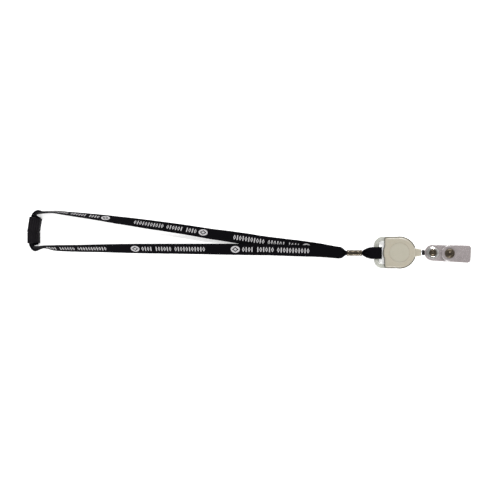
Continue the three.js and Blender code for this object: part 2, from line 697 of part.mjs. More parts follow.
// ---------------------------------------------------------------- assembly
function lanyardBadgeHolder() {
  const group = new THREE.Group();
  group.add(leg('near_leg', NEAR_ROUTE, 80));
  group.add(leg('far_leg', FAR_ROUTE, 76));
  group.add(leg('far_leg_end', CORNER_ROUTE, 24));
  group.add(reelLoop());
  group.add(crimpBarrel());
  group.add(socketShell(), socketWedge());
  group.add(claspPlug());
  group.add(reelBackShell(), reelFrontShell(), reelLabel(), cordBushing());
  group.add(spoolPost(), spool(), spiralSpring(), cordWinding(), cordLead());
  group.add(pullCord(), cordStop(), cordKnot(), linkTab());
  group.add(badgeStrap());
  return group;
}

export default lanyardBadgeHolder();
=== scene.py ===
"""Lanyard badge holder: a neck strap, its breakaway clasp and crimp, a cord reel and a vinyl badge strap.

Lengths in this file are millimetres until Workshop.finish puts a mesh into metres.
"""

import logging
import math
from dataclasses import dataclass
from enum import Enum
from itertools import accumulate
from typing import Callable, Sequence

import bmesh
import bpy
from mathutils import Matrix, Vector


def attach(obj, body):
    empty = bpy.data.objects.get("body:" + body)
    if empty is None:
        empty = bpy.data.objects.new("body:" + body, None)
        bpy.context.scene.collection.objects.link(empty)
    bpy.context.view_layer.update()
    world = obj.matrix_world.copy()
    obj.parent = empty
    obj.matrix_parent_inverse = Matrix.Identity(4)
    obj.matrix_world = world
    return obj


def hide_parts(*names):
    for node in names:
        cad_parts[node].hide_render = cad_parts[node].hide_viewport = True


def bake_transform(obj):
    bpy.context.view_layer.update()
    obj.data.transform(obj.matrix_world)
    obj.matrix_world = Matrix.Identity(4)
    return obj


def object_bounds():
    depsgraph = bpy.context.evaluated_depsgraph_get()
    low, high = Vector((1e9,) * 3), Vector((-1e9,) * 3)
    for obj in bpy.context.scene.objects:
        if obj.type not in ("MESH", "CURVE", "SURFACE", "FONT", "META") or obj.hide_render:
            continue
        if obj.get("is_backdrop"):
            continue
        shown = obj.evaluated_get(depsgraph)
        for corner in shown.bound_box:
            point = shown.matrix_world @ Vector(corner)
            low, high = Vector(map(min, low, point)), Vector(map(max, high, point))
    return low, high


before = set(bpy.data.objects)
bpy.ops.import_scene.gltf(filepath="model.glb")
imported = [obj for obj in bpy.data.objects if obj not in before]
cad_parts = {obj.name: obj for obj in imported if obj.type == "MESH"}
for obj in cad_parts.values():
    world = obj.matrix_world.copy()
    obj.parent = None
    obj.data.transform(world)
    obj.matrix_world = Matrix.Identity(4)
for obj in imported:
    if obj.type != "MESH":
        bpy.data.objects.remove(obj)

CAD_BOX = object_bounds()
MM = 0.001
WELD = 1e-4             # vertices closer than this many millimetres are one
SHARP_EDGE = 38.0       # edges steeper than this many degrees stay crisp
SELVEDGE_REACH = 1.045  # the webbing's outermost point, in half widths
LOG = logging.getLogger("badge_holder")

Point = Sequence[float]
Ring = Sequence[Vector]


class Slot(Enum):
    """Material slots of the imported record."""

    WEBBING = "webbing"
    NICKEL = "nickel"
    BLACK_PLASTIC = "black_plastic"
    CLEAR_PLASTIC = "clear_plastic"
    IVORY_PLASTIC = "ivory_plastic"
    LABEL = "label"
    STEEL = "steel"
    WHITE_PLASTIC = "white_plastic"
    CORD = "cord"
    VINYL = "vinyl"
    AGED_METAL = "aged_metal"


class Body(Enum):
    """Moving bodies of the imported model."""

    LANYARD = "lanyard"
    CLASP_PLUG = "clasp_plug"
    REEL = "reel"
    SPOOL = "spool"
    CORD_END = "cord_end"
    BADGE_STRAP = "badge_strap"
    STRAP_FLAP = "strap_flap"


class Print(Enum):
    """Which way the white border on a webbing leg runs."""

    NONE = 0
    FORWARD = 1
    BACKWARD = -1


# ---------------------------------------------------------------- shader graphs
def wire(tree: bpy.types.NodeTree, kind: str, inputs: dict | None = None,
         **settings: object) -> bpy.types.Node:
    """Adds a node to a tree.

    Args:
        tree: the material's or the world's node tree.
        kind: the node's type without its ShaderNode prefix.
        inputs: socket name or index to a value or a signal.
        settings: the node's own properties.

    Returns:
        The new node.
    """
    node = tree.nodes.new("ShaderNode" + kind)
    for key, value in settings.items():
        setattr(node, key, value)
    for key, value in (inputs or {}).items():
        if isinstance(value, Signal):
            tree.links.new(value.socket, node.inputs[key])
        else:
            node.inputs[key].default_value = value
    return node


@dataclass(frozen=True, eq=False)
class Signal:
    """An output socket whose arithmetic adds Math nodes to its tree."""

    socket: bpy.types.NodeSocket

    def math(self, operation: str, *values: object) -> "Signal":
        """Returns a Math node's output on this signal and up to two more values."""
        inputs = dict(enumerate((self, *values)))
        return Signal(wire(self.socket.id_data, "Math", inputs, operation=operation).outputs[0])

    def __add__(self, other: object) -> "Signal":
        """Returns the sum."""
        return self.math("ADD", other)

    def __sub__(self, other: object) -> "Signal":
        """Returns the difference."""
        return self.math("SUBTRACT", other)

    def __mul__(self, other: object) -> "Signal":
        """Returns the product."""
        return self.math("MULTIPLY", other)

    def __truediv__(self, other: object) -> "Signal":
        """Returns the quotient."""
        return self.math("DIVIDE", other)

    def inverse(self) -> "Signal":
        """Returns 1 minus this signal."""
        return Signal(wire(self.socket.id_data, "Math", {0: 1.0, 1: self}, operation="SUBTRACT").outputs[0])

    def size(self) -> "Signal":
        """Returns the value without its sign."""
        return self.math("ABSOLUTE")

    def above(self, limit: float) -> "Signal":
        """Returns 1 above a limit and 0 elsewhere."""
        return self.math("GREATER_THAN", limit)

    def below(self, limit: float) -> "Signal":
        """Returns 1 below a limit and 0 elsewhere."""
        return self.math("LESS_THAN", limit)

    def wave(self, rate: float) -> "Signal":
        """Returns the sine of this signal times a rate."""
        return (self * rate).math("SINE")

    def remap(self, low: float, high: float, to_low: float, to_high: float) -> "Signal":
        """Returns the signal carried from one range to another and clamped."""
        inputs = dict(enumerate((self, low, high, to_low, to_high)))
        return Signal(wire(self.socket.id_data, "MapRange", inputs).outputs[0])


class ShaderGraph:
    """Adds and wires the nodes of one material."""

    def __init__(self, name: str) -> None:
        """Starts an empty node tree under a material name.

        Args:
            name: the material's name.
        """
        self.material = bpy.data.materials.new(name)
        self.material.use_nodes = True
        self.tree = self.material.node_tree
        self.tree.nodes.clear()
        self.output = self.tree.nodes.new("ShaderNodeOutputMaterial")

    def add(self, kind: str, inputs: dict | None = None, output: int | str = 0, **settings: object) -> Signal:
        """Adds a node and returns one of its outputs."""
        return Signal(wire(self.tree, kind, inputs, **settings).outputs[output])

    def mix(self, factor: object, first: object, second: object) -> Signal:
        """Returns a colour mixed from first to second by factor."""
        return self.add("Mix", {0: factor, 6: first, 7: second}, 2, data_type="RGBA")

    def noise(self, vector: Signal, scale: float, detail: float = 3.0, roughness: float = 0.55) -> Signal:
        """Returns the factor of a Noise texture."""
        return self.add(
            "TexNoise", {"Vector": vector, "Scale": scale, "Detail": detail, "Roughness": roughness})

    def object_coordinates(self) -> Signal:
        """Returns the Object coordinates of the piece."""
        return self.add("TexCoord", None, "Object")

    def uv(self) -> tuple[Signal, Signal]:
        """Returns the piece's own UV map, length along and distance across, in millimetres."""
        split = wire(self.tree, "SeparateXYZ", {0: self.add("UVMap", uv_map="Strip")})
        return Signal(split.outputs[0]), Signal(split.outputs[1])

    def bump(self, height: Signal, distance: float, strength: float = 1.0) -> Signal:
        """Returns a bumped normal for a height from 0 to 1 that is distance metres tall."""
        return self.add("Bump", {"Height": height, "Distance": distance, "Strength": strength})

    def surface(self, inputs: dict, slot: Slot | None = None) -> bpy.types.Material:
        """Closes the graph with a Principled surface.

        Args:
            inputs: sockets of the Principled shader.
            slot: the record's slot that pieces in this finish take, or none for the floor.

        Returns:
            The finished material.
        """
        shader = self.add("BsdfPrincipled", inputs)
        self.tree.links.new(shader.socket, self.output.inputs[0])
        if slot is not None:
            self.material["slot"] = slot.value
        return self.material


Colour = tuple[float, float, float, float]


@dataclass(frozen=True)
class Border:
    """The white border on the webbing, in millimetres: a medallion, then runs of lozenges and bars."""

    pitch: float = 115.6
    span: tuple[float, float] = (-351.0, -40.0)
    medallion_at: float = 5.2
    medallion_half: tuple[float, float] = (5.1, 3.9)
    core_half: tuple[float, float] = (3.9, 3.0)
    core_hole: float = 0.52
    first_cell: float = 12.6
    cell_width: float = 3.22
    cells: float = 23.0
    spaces: tuple[float, ...] = (4.0, 11.0)
    lozenge_half: tuple[float, float] = (1.45, 2.95)
    lozenge_hole: float = 0.5
    bar_half: tuple[float, float] = (0.55, 2.75)

    def medallion(self, place: Signal, height: Signal) -> Signal:
        """Returns 1 on the round medallion, with a diamond cut out of it and a smaller one inside.

        Args:
            place: distance along one repeat of the border.
            height: distance from the webbing's middle line.

        Returns:
            The mask.
        """
        away = (place - self.medallion_at).size()
        disc = ((away / self.medallion_half[0]).math("POWER", 2.0)
                + (height / self.medallion_half[1]).math("POWER", 2.0))
        core = away / self.core_half[0] + height / self.core_half[1]
        return disc.below(1.0) * core.above(1.0).math("MAXIMUM", core.below(self.core_hole))

    def cells_mask(self, place: Signal, height: Signal) -> Signal:
        """Returns 1 on the hollow lozenges and the bars between them, with two cells left empty.

        Args:
            place: distance along one repeat of the border.
            height: distance from the webbing's middle line.

        Returns:
            The mask.
        """
        cell = (place - self.first_cell) / self.cell_width
        index = cell.math("FLOOR")
        away = ((cell - index - 0.5) * self.cell_width).size()
        lozenge = away / self.lozenge_half[0] + height / self.lozenge_half[1]
        outline = lozenge.below(1.0) * lozenge.above(self.lozenge_hole)
        bar = away.below(self.bar_half[0]) * height.below(self.bar_half[1])
        odd = index.math("FLOORED_MODULO", 2.0).above(0.5)
        inside = cell.above(0.0) * cell.below(self.cells)
        for space in self.spaces:
            inside = inside * (index - space).size().above(0.5)
        return (odd * bar + odd.inverse() * outline) * inside

    def mask(self, along: Signal, across: Signal, start: float, way: Print) -> Signal:
        """Returns 1 where the border is printed.

        Args:
            along: distance along the webbing.
            across: distance across it from its middle.
            start: where the first medallion begins.
            way: which way the border runs.

        Returns:
            The mask.
        """
        place = ((along - start) * float(way.value)).math("FLOORED_MODULO", self.pitch)
        height = across.size()
        printed = along.above(self.span[0]) * along.below(self.span[1])
        return printed * self.medallion(place, height).math("MAXIMUM", self.cells_mask(place, height))


@dataclass(frozen=True)
class WebbingFinish:
    """Woven black polyester, with or without a white border."""

    name: str
    way: Print = Print.NONE
    start: float = 0.0
    border: Border = Border()
    fabric: Colour = (0.0010, 0.0009, 0.0014, 1)
    fibre: Colour = (0.0034, 0.0030, 0.0046, 1)
    ink: Colour = (0.43, 0.42, 0.43, 1)
    pick: float = 0.62
    rib: float = 0.78

    def make(self) -> bpy.types.Material:
        """Builds the material.

        Returns:
            The finished material.
        """
        graph = ShaderGraph(self.name)
        along, across = graph.uv()
        crossing = along.wave(math.pi / self.pick) * across.wave(math.pi / self.rib)
        height = crossing.remap(-0.8, 0.8, 0.0, 1.0)
        fuzz = graph.noise(graph.object_coordinates(), 2600, 4)
        colour = graph.mix(height * fuzz.remap(0.3, 0.7, 0.25, 1.0), self.fabric, self.fibre)
        roughness = fuzz.remap(0.3, 0.7, 0.62, 0.86)
        if self.way is not Print.NONE:
            worn = (height * 0.5 + fuzz).remap(0.42, 0.75, 0.62, 1.0)
            mask = self.border.mask(along, across, self.start, self.way) * worn
            colour = graph.mix(mask, colour, self.ink)
            roughness = roughness - mask * 0.2
        return graph.surface(
            {"Base Color": colour, "Roughness": roughness, "Specular IOR Level": 0.03,
             "Normal": graph.bump(height * 0.8 + fuzz * 0.2, 0.00012, 0.7)},
            Slot.WEBBING)


@dataclass(frozen=True)
class PlatedMetal:
    """Plated or aged metal: fine scratches, smudges and a darker film in patches."""

    name: str
    slot: Slot
    bright: Colour
    dull: Colour
    smooth: float
    rough: float
    patch: float = 420.0
    film: float = 0.45

    def make(self) -> bpy.types.Material:
        """Builds the material.

        Returns:
            The finished material.
        """
        graph = ShaderGraph(self.name)
        place = graph.object_coordinates()
        patches = graph.noise(place, self.patch, 4)
        scratches = graph.noise(graph.add("Mapping", {"Vector": place, "Scale": (260, 5200, 5200)}), 1.0, 3)
        uneven = patches * 0.6 + scratches * 0.4
        film = patches.remap(self.film, self.film + 0.25, 0.0, 1.0)
        return graph.surface(
            {"Base Color": graph.mix(film, self.bright, self.dull),
             "Metallic": 1.0, "Roughness": uneven.remap(0.35, 0.65, self.smooth, self.rough),
             "Normal": graph.bump(scratches, 0.00002, 0.5)},
            self.slot)


@dataclass(frozen=True)
class MouldedPlastic:
    """Opaque moulded plastic with a fine grain, tone variation and scuffed high spots."""

    name: str
    slot: Slot
    base: Colour
    shade: Colour
    scuff: Colour
    smooth: float
    rough: float
    grain: float = 4200.0
    grain_height: float = 0.00002
    scuffing: float = 0.5
    subsurface: float = 0.0
    specular: float = 0.5

    def make(self) -> bpy.types.Material:
        """Builds the material.

        Returns:
            The finished material.
        """
        graph = ShaderGraph(self.name)
        place = graph.object_coordinates()
        broad, fine = graph.noise(place, 130, 3), graph.noise(place, self.grain, 3)
        edge = graph.add("NewGeometry", None, "Pointiness").remap(0.52, 0.60, 0.0, 1.0)
        spots = graph.noise(place, 900, 5).remap(0.5, 0.72, 0.0, 1.0)
        worn = (edge * 0.7 + spots * 0.3) * self.scuffing
        colour = graph.mix(broad.remap(0.35, 0.65, 0.0, 1.0), self.base, self.shade)
        uneven = broad * 0.5 + fine * 0.5
        return graph.surface(
            {"Base Color": graph.mix(worn, colour, self.scuff),
             "Roughness": uneven.remap(0.35, 0.65, self.smooth, self.rough),
             "Normal": graph.bump(fine, self.grain_height, 0.6), "Specular IOR Level": self.specular,
             "Subsurface Weight": self.subsurface, "Subsurface Radius": (0.002, 0.0015, 0.001),
             "Subsurface Scale": 0.5},
            self.slot)


@dataclass(frozen=True)
class ClearMoulding:
    """Translucent moulded plastic: tinted, slightly hazy, with scuffs, and on the vinyl a painted highlight
    along the cut edge of the flap's end.
    """

    name: str
    slot: Slot
    tint: Colour
    shade: Colour
    transmission: float
    smooth: float
    rough: float
    mesh: float = 0.0
    # The next three fields place and colour the painted highlight on the vinyl's cut edge.
    highlight_start: float = 0.0
    highlight_band: tuple[float, float] = (7.7, 9.4)
    painted_highlight_colour: Colour = (0.86, 0.85, 0.84, 1)

    def make(self) -> bpy.types.Material:
        """Builds the material. A mesh pitch above 0 adds a reinforcing scrim from the piece's own UV map, and
        a painted highlight: a pale band near the strip's cut edge beyond a given length along.

        Returns:
            The finished material.
        """
        graph = ShaderGraph(self.name)
        place = graph.object_coordinates()
        scuffs = graph.noise(place, 1500, 5, 0.7)
        tone = graph.noise(place, 160, 3).remap(0.35, 0.65, 0.0, 1.0)
        colour, relief = graph.mix(tone, self.tint, self.shade), scuffs
        if self.mesh > 0:
            along, across = graph.uv()
            lines = [way.wave(math.pi / self.mesh).size().math("POWER", 6.0) for way in (along, across)]
            thread = lines[0].math("MINIMUM", lines[1]).inverse()
            relief = thread * 0.6 + scuffs * 0.4
            colour = graph.mix(thread.inverse() * 0.35, colour, self.shade)
            # Painted highlight: pale colour on a band near the edge of the flap's rounded end stands in for
            # light glinting off the cut rim.
            reach = across.size()
            edge = reach.above(self.highlight_band[0]) * reach.below(self.highlight_band[1]) * along.above(self.highlight_start)
            highlight_patches = graph.noise(place, 420, 2).remap(0.42, 0.58, 0.15, 1.0)
            colour = graph.mix(edge * highlight_patches, colour, self.painted_highlight_colour)
        return graph.surface(
            {"Base Color": colour, "Transmission Weight": self.transmission, "IOR": 1.46,
             "Roughness": scuffs.remap(0.35, 0.65, self.smooth, self.rough),
             "Normal": graph.bump(relief, 0.00003, 0.5)},
            self.slot)


@dataclass(frozen=True)
class BraidedCord:
    """Fine black nylon braid, read from the tube's own UV map."""

    name: str
    base: Colour = (0.012, 0.012, 0.014, 1)
    strand: Colour = (0.06, 0.06, 0.065, 1)
    braid_rate: float = 9.0

    def make(self) -> bpy.types.Material:
        """Builds the material.

        Returns:
            The finished material.
        """
        graph = ShaderGraph(self.name)
        along, across = graph.uv()
        crossing = (along + across).wave(self.braid_rate) * (along - across).wave(self.braid_rate)
        height = crossing.remap(-0.7, 0.7, 0.0, 1.0)
        return graph.surface(
            {"Base Color": graph.mix(height, self.base, self.strand),
             "Roughness": height.remap(0.0, 1.0, 0.8, 0.6), "Normal": graph.bump(height, 0.00006)},
            Slot.CORD)


def opaque(red: float, green: float, blue: float) -> Colour:
    """Returns a colour with full alpha."""
    return (red, green, blue, 1)


class Palette:
    """Every finish on the badge holder."""

    def __init__(self) -> None:
        """Builds each material once."""
        self.near_webbing = WebbingFinish("near_webbing_border", Print.FORWARD, -247.9).make()
        self.far_webbing = WebbingFinish("far_webbing_border", Print.BACKWARD, -159.8).make()
        self.plain_webbing = WebbingFinish("plain_webbing").make()
        self.nickel = PlatedMetal(
            "worn_nickel", Slot.NICKEL, opaque(0.115, 0.098, 0.076), opaque(0.045, 0.035, 0.024),
            0.16, 0.34).make()
        self.bright_nickel = PlatedMetal(
            "bright_nickel", Slot.NICKEL, opaque(0.66, 0.65, 0.63), opaque(0.48, 0.46, 0.44),
            0.10, 0.22).make()
        self.aged_metal = PlatedMetal(
            "aged_metal", Slot.AGED_METAL, opaque(0.10, 0.082, 0.06), opaque(0.018, 0.013, 0.009), 0.22, 0.45,
            900).make()
        self.steel = PlatedMetal(
            "bright_steel", Slot.STEEL, opaque(0.55, 0.56, 0.58), opaque(0.36, 0.36, 0.37), 0.15, 0.35).make()
        self.black_plastic = MouldedPlastic(
            "clasp_plastic", Slot.BLACK_PLASTIC, opaque(0.0030, 0.0022, 0.0032),
            opaque(0.0050, 0.0038, 0.0052), opaque(0.020, 0.017, 0.020), 0.32, 0.5, specular=0.1).make()
        self.ivory = MouldedPlastic(
            "ivory_face", Slot.IVORY_PLASTIC, opaque(0.325, 0.298, 0.240), opaque(0.305, 0.281, 0.223),
            opaque(0.38, 0.355, 0.30), 0.2, 0.32, 2600, 0.000012, 0.25, 0.06).make()
        self.label = MouldedPlastic(
            "blank_label", Slot.LABEL, opaque(0.298, 0.279, 0.222), opaque(0.285, 0.268, 0.210),
            opaque(0.33, 0.31, 0.26), 0.42, 0.6, 5200, 0.00001, 0.2).make()
        self.white_plastic = MouldedPlastic(
            "spool_plastic", Slot.WHITE_PLASTIC, opaque(0.60, 0.59, 0.55), opaque(0.54, 0.53, 0.49),
            opaque(0.66, 0.65, 0.62), 0.35, 0.5).make()
        self.clear_plastic = ClearMoulding(
            "clear_casing", Slot.CLEAR_PLASTIC, opaque(0.50, 0.505, 0.46), opaque(0.42, 0.425, 0.385),
            0.46, 0.12, 0.28).make()
        # A darker copy of the clear casing plastic for the tub: its extra darkness is painted shade for the
        # dark outline round the face.
        self.shade_painted_casing = ClearMoulding(
            "shade_painted_casing", Slot.CLEAR_PLASTIC, opaque(0.235, 0.228, 0.198), opaque(0.18, 0.175, 0.15),
            0.42, 0.14, 0.3).make()
        # The vinyl's pale band at the flap's end is a painted highlight.
        self.vinyl = ClearMoulding(
            "smoky_vinyl", Slot.VINYL, opaque(0.36, 0.325, 0.325), opaque(0.30, 0.268, 0.268),
            0.38, 0.12, 0.30, mesh=0.9, highlight_start=67.0).make()
        self.cord = BraidedCord("braided_cord").make()


# ---------------------------------------------------------------- mesh making
class Workshop:
    """Turns rings, profiles and outlines into finished pieces."""

    @staticmethod
    def finish(mesh: bmesh.types.BMesh, name: str, material: bpy.types.Material,
               sharp: float = SHARP_EDGE) -> bpy.types.Object:
        """Closes a mesh, puts it into metres and makes it an object at the origin.

        Args:
            mesh: the shape, in millimetres.
            name: the piece's name.
            material: its finish.
            sharp: edges steeper than this many degrees stay crisp.

        Returns:
            The new object.
        """
        bmesh.ops.remove_doubles(mesh, verts=mesh.verts, dist=WELD)
        bmesh.ops.recalc_face_normals(mesh, faces=mesh.faces)
        for face in mesh.faces:
            face.smooth = True
        for edge in mesh.edges:
            edge.smooth = edge.calc_face_angle(0.0) < math.radians(sharp)
        bmesh.ops.scale(mesh, vec=(MM, MM, MM), verts=mesh.verts)
        data = bpy.data.meshes.new(name)
        mesh.to_mesh(data)
        mesh.free()
        data.materials.append(material)
        piece = bpy.data.objects.new(name, data)
        bpy.context.scene.collection.objects.link(piece)
        return piece

    @staticmethod
    def loft(rings: Sequence[Ring], name: str, material: bpy.types.Material,
             lengths: Sequence[float] | None = None, girths: Sequence[float] | None = None,
             capped: bool = True, sharp: float = SHARP_EDGE) -> bpy.types.Object:
        """Bends a grid through closed rings of equal size.

        Args:
            rings: the sections, each a list of points.
            name: the piece's name.
            material: its finish.
            lengths: distance along at each ring, for the piece's UV map.
            girths: distance round at each point of a ring and back at the first, for the UV map.
            capped: whether the two end rings are filled.
            sharp: edges steeper than this many degrees stay crisp.

        Returns:
            The new object.
        """
        count = len(rings[0])
        mesh = bmesh.new()
        chart = mesh.loops.layers.uv.new("Strip")
        bmesh.ops.create_grid(mesh, x_segments=count, y_segments=len(rings) - 1, size=0.5, calc_uvs=True)
        mesh.verts.index_update()
        columns = count + 1
        if lengths is not None and girths is not None:
            for face in mesh.faces:
                for corner in face.loops:
                    row, column = divmod(corner.vert.index, columns)
                    corner[chart].uv = (lengths[row], girths[column])
        for vert in mesh.verts:
            row, column = divmod(vert.index, columns)
            vert.co = rings[row][column % count]
        bmesh.ops.remove_doubles(mesh, verts=mesh.verts, dist=WELD)
        if capped:
            bmesh.ops.holes_fill(mesh, edges=[e for e in mesh.edges if e.is_boundary], sides=0)
        return Workshop.finish(mesh, name, material, sharp)

    @staticmethod
    def turned(profile: Sequence[Point], name: str, material: bpy.types.Material, place: Matrix,
               steps: int = 64, sharp: float = SHARP_EDGE) -> bpy.types.Object:
        """Spins a profile of [radius, height] points about Z.

        Args:
            profile: the half section, from axis to axis or round a closed ring.
            name: the piece's name.
            material: its finish.
            place: where the turned shape goes.
            steps: how many facets go round.
            sharp: edges steeper than this many degrees stay crisp.

        Returns:
            The new object.
        """
        mesh = bmesh.new()
        points = [mesh.verts.new((radius, 0, height)) for radius, height in profile]
        lines = [mesh.edges.new(pair) for pair in zip(points, points[1:])]
        bmesh.ops.spin(mesh, geom=points + lines, cent=(0, 0, 0), axis=(0, 0, 1), angle=2 * math.pi,
                       steps=steps, use_merge=True, use_duplicate=False)
        bmesh.ops.transform(mesh, matrix=place, verts=mesh.verts)
        return Workshop.finish(mesh, name, material, sharp)

    @staticmethod
    def slab(outline: Sequence[Point], low: float, high: float, name: str, material: bpy.types.Material,
             place: Matrix, rounding: float = 0.25) -> bpy.types.Object:
        """Extrudes a flat outline along Z and rounds its rims.

        Args:
            outline: corners in the XY plane.
            low: underside height.
            high: upper height.
            name: the piece's name.
            material: its finish.
            place: where the shape goes.
            rounding: the radius of the rims.

        Returns:
            The new object.
        """
        mesh = bmesh.new()
        base = mesh.faces.new([mesh.verts.new((x, y, low)) for x, y in outline])
        raised = bmesh.ops.extrude_face_region(mesh, geom=[base], use_keep_orig=True)
        top = [item for item in raised["geom"] if isinstance(item, bmesh.types.BMVert)]
        bmesh.ops.translate(mesh, vec=(0, 0, high - low), verts=top)
        bmesh.ops.recalc_face_normals(mesh, faces=mesh.faces)
        rims = [edge for edge in mesh.edges
                if abs(edge.verts[0].co.z - edge.verts[1].co.z) < 1e-6 and edge.calc_face_angle(0.0) > 1.0]
        bmesh.ops.bevel(mesh, geom=rims, offset=rounding, affect="EDGES", segments=3, profile=0.5,
                        material=-1, clamp_overlap=True)
        bmesh.ops.transform(mesh, matrix=place, verts=mesh.verts)
        return Workshop.finish(mesh, name, material)

    @staticmethod
    def arc(centre: Point, radius: float, start: float, end: float,
            steps: int = 5) -> list[tuple[float, float]]:
        """Returns points on an arc between two angles in degrees."""
        angles = (math.radians(start + (end - start) * step / steps) for step in range(steps + 1))
        return [(centre[0] + radius * math.cos(a), centre[1] + radius * math.sin(a)) for a in angles]

    @staticmethod
    def rounded_box(half_width: float, half_height: float, radius: float,
                    steps: int = 5) -> list[tuple[float, float]]:
        """Returns a rounded rectangle about the origin, counter-clockwise from its right side.

        Args:
            half_width: half the width.
            half_height: half the height.
            radius: the corners' radius.
            steps: how many segments each corner has.

        Returns:
            The outline.
        """
        across, up = half_width - radius, half_height - radius
        corners = ((across, up, 0), (-across, up, 90), (-across, -up, 180), (across, -up, 270))
        return [point for x, y, start in corners
                for point in Workshop.arc((x, y), radius, start, start + 90, steps)]


def ride(piece: bpy.types.Object, body: Body, *nodes: str) -> bpy.types.Object:
    """Puts a piece on its body and stands it in for CAD nodes.

    Args:
        piece: the finished piece.
        body: the body that it moves with.
        nodes: CAD nodes that it replaces.

    Returns:
        The same piece.
    """
    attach(piece, body.value)
    stand_in(piece, *nodes)
    return piece


def stand_in(piece: bpy.types.Object, *nodes: str) -> None:
    """Replaces CAD nodes with a piece and reports it.

    Args:
        piece: the finished piece.
        nodes: CAD nodes that it replaces.
    """
    if nodes:
        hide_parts(*nodes)
    LOG.info("%s: %d faces", piece.name, len(piece.data.polygons))


def dress(node: str, material: bpy.types.Material) -> None:
    """Gives a carried-over CAD node a better finish.

    Args:
        node: the CAD node's name.
        material: its finish.
    """
    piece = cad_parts[node]
    for holder in piece.material_slots:
        holder.material = material
    if not piece.material_slots:
        piece.data.materials.append(material)
    LOG.info("%s: CAD node dressed", node)


def smooth(low: float, high: float, value: float) -> float:
    """Returns 0 below low, 1 above high and a smooth step between them."""
    t = min(max((value - low) / (high - low), 0.0), 1.0)
    return t * t * (3 - 2 * t)


def raised(base: float, *profile: Point) -> list[tuple[float, float]]:
    """Returns a profile of [radius, rise] points as [radius, height] points over a base height."""
    return [(radius, base + rise) for radius, rise in profile]


def placed(spot: Point, angle: float, axis: str) -> Matrix:
    """Returns the place at a spot, turned about an axis by an angle in degrees."""
    return Matrix.Translation(spot) @ Matrix.Rotation(math.radians(angle), 4, axis)


def lerp(first: float, second: float, share: float) -> float:
    """Returns the value share of the way from first to second."""
    return first + (second - first) * share


def run_along(line: Sequence[Vector]) -> list[float]:
    """Returns the distance along a line at each of its points."""
    return [0.0, *accumulate((after - before).length for before, after in zip(line, line[1:]))]


def neighbours(line: Sequence[Point], index: int) -> tuple[Point, Point]:
    """Returns the points before and after one point of a line, or the point itself at an end."""
    return line[max(index - 1, 0)], line[min(index + 1, len(line) - 1)]


class Spline:
    """A centripetal Catmull-Rom curve through points."""

    def __init__(self, points: Sequence[Vector]) -> None:
        """Keeps the points and adds one mirrored point beyond each end."""
        self.points = [2 * points[0] - points[1], *points, 2 * points[-1] - points[-2]]

    def at(self, share: float) -> Vector:
        """Returns the point at a share of the way, counted in spans.

        Args:
            share: how far along, from 0 to 1.

        Returns:
            The point.
        """
        spans = len(self.points) - 3
        place = min(max(share, 0.0), 1.0) * spans
        index = min(int(place), spans - 1)
        weight = place - index
        p0, p1, p2, p3 = self.points[index:index + 4]
        gaps = [max((b - a).length, 1e-12) ** 0.5 for a, b in ((p0, p1), (p1, p2), (p2, p3))]
        middle = gaps[1] if gaps[1] > 1e-4 else 1.0
        before = gaps[0] if gaps[0] > 1e-4 else middle
        after = gaps[2] if gaps[2] > 1e-4 else middle
        leave = ((p1 - p0) / before - (p2 - p0) / (before + middle) + (p2 - p1) / middle) * middle
        arrive = ((p2 - p1) / middle - (p3 - p1) / (middle + after) + (p3 - p2) / after) * middle
        squared, cubed = weight * weight, weight ** 3
        return (p1 * (2 * cubed - 3 * squared + 1) + leave * (cubed - 2 * squared + weight)
                + p2 * (3 * squared - 2 * cubed) + arrive * (cubed - squared))


@dataclass
class Station:
    """One place along a strip of webbing."""

    centre: Vector
    across: Vector
    normal: Vector
    gathered: float
    length: float


@dataclass(frozen=True)
class Tape:
    """The half-inch webbing's own section, flat or drawn into three pleats."""

    width: float = 12.5
    thick: float = 1.0
    gathered_width: float = 4.3
    gathered_thick: float = 0.92
    pleat: float = 0.38
    loose_pleat: float = 0.62
    samples: int = 22
    selvedge: float = 0.10

    def section(self) -> list[tuple[float, float]]:
        """Returns the section as [across from -1 to 1, side from -1 to 1] points, all the way round.

        Returns:
            The section.
        """
        top = [(-1 + 2 * step / self.samples, 1.0) for step in range(self.samples + 1)]
        right = [(1.035, 0.5), (SELVEDGE_REACH, 0.0), (1.035, -0.5)]
        left = [(-across, side) for across, side in reversed(right)]
        bottom = [(-across, -1.0) for across, _ in top]
        return top + right + bottom + left

    def girths(self) -> list[float]:
        """Returns the distance across at each section point, carried on round the edges and the underside.

        Returns:
            The distances.
        """
        section = self.section()
        half, reach = self.width / 2, []
        for index in range(len(section) + 1):
            across, side = section[index % len(section)]
            if index <= self.samples:
                reach.append(across * half)
            elif index <= self.samples + 3:
                reach.append(half + (index - self.samples) * self.thick / 4)
            elif index <= 2 * self.samples + 4:
                reach.append(half + self.thick + (1 - across) * half)
            else:
                reach.append(3 * half + self.thick + (index - 2 * self.samples - 4) * self.thick / 4)
        return reach

    def ring(self, station: Station, fold_sign: float = 1.0) -> list[Vector]:
        """Returns the section's points at a station.

        Args:
            station: the place along the strip.
            fold_sign: 1 or -1, so that two layers fold the same way.

        Returns:
            The ring of points.
        """
        drawn = station.gathered
        half = lerp(self.width, self.gathered_width, drawn) / 2 / SELVEDGE_REACH
        thick = lerp(self.thick, self.gathered_thick, drawn)
        rise = self.pleat * drawn + self.loose_pleat * 4 * drawn * (1 - drawn)
        points = []
        for across, side in self.section():
            bead = self.selvedge * smooth(0.84, 0.93, abs(across)) * (1 - smooth(0.95, 1.0, abs(across)))
            height = side * (thick / 2) * (1 + bead - 0.22 * smooth(0.94, 1.0, abs(across)))
            height += fold_sign * rise * math.cos(3 * math.pi * across)
            points.append(station.centre + station.across * (across * half) + station.normal * height)
        return points


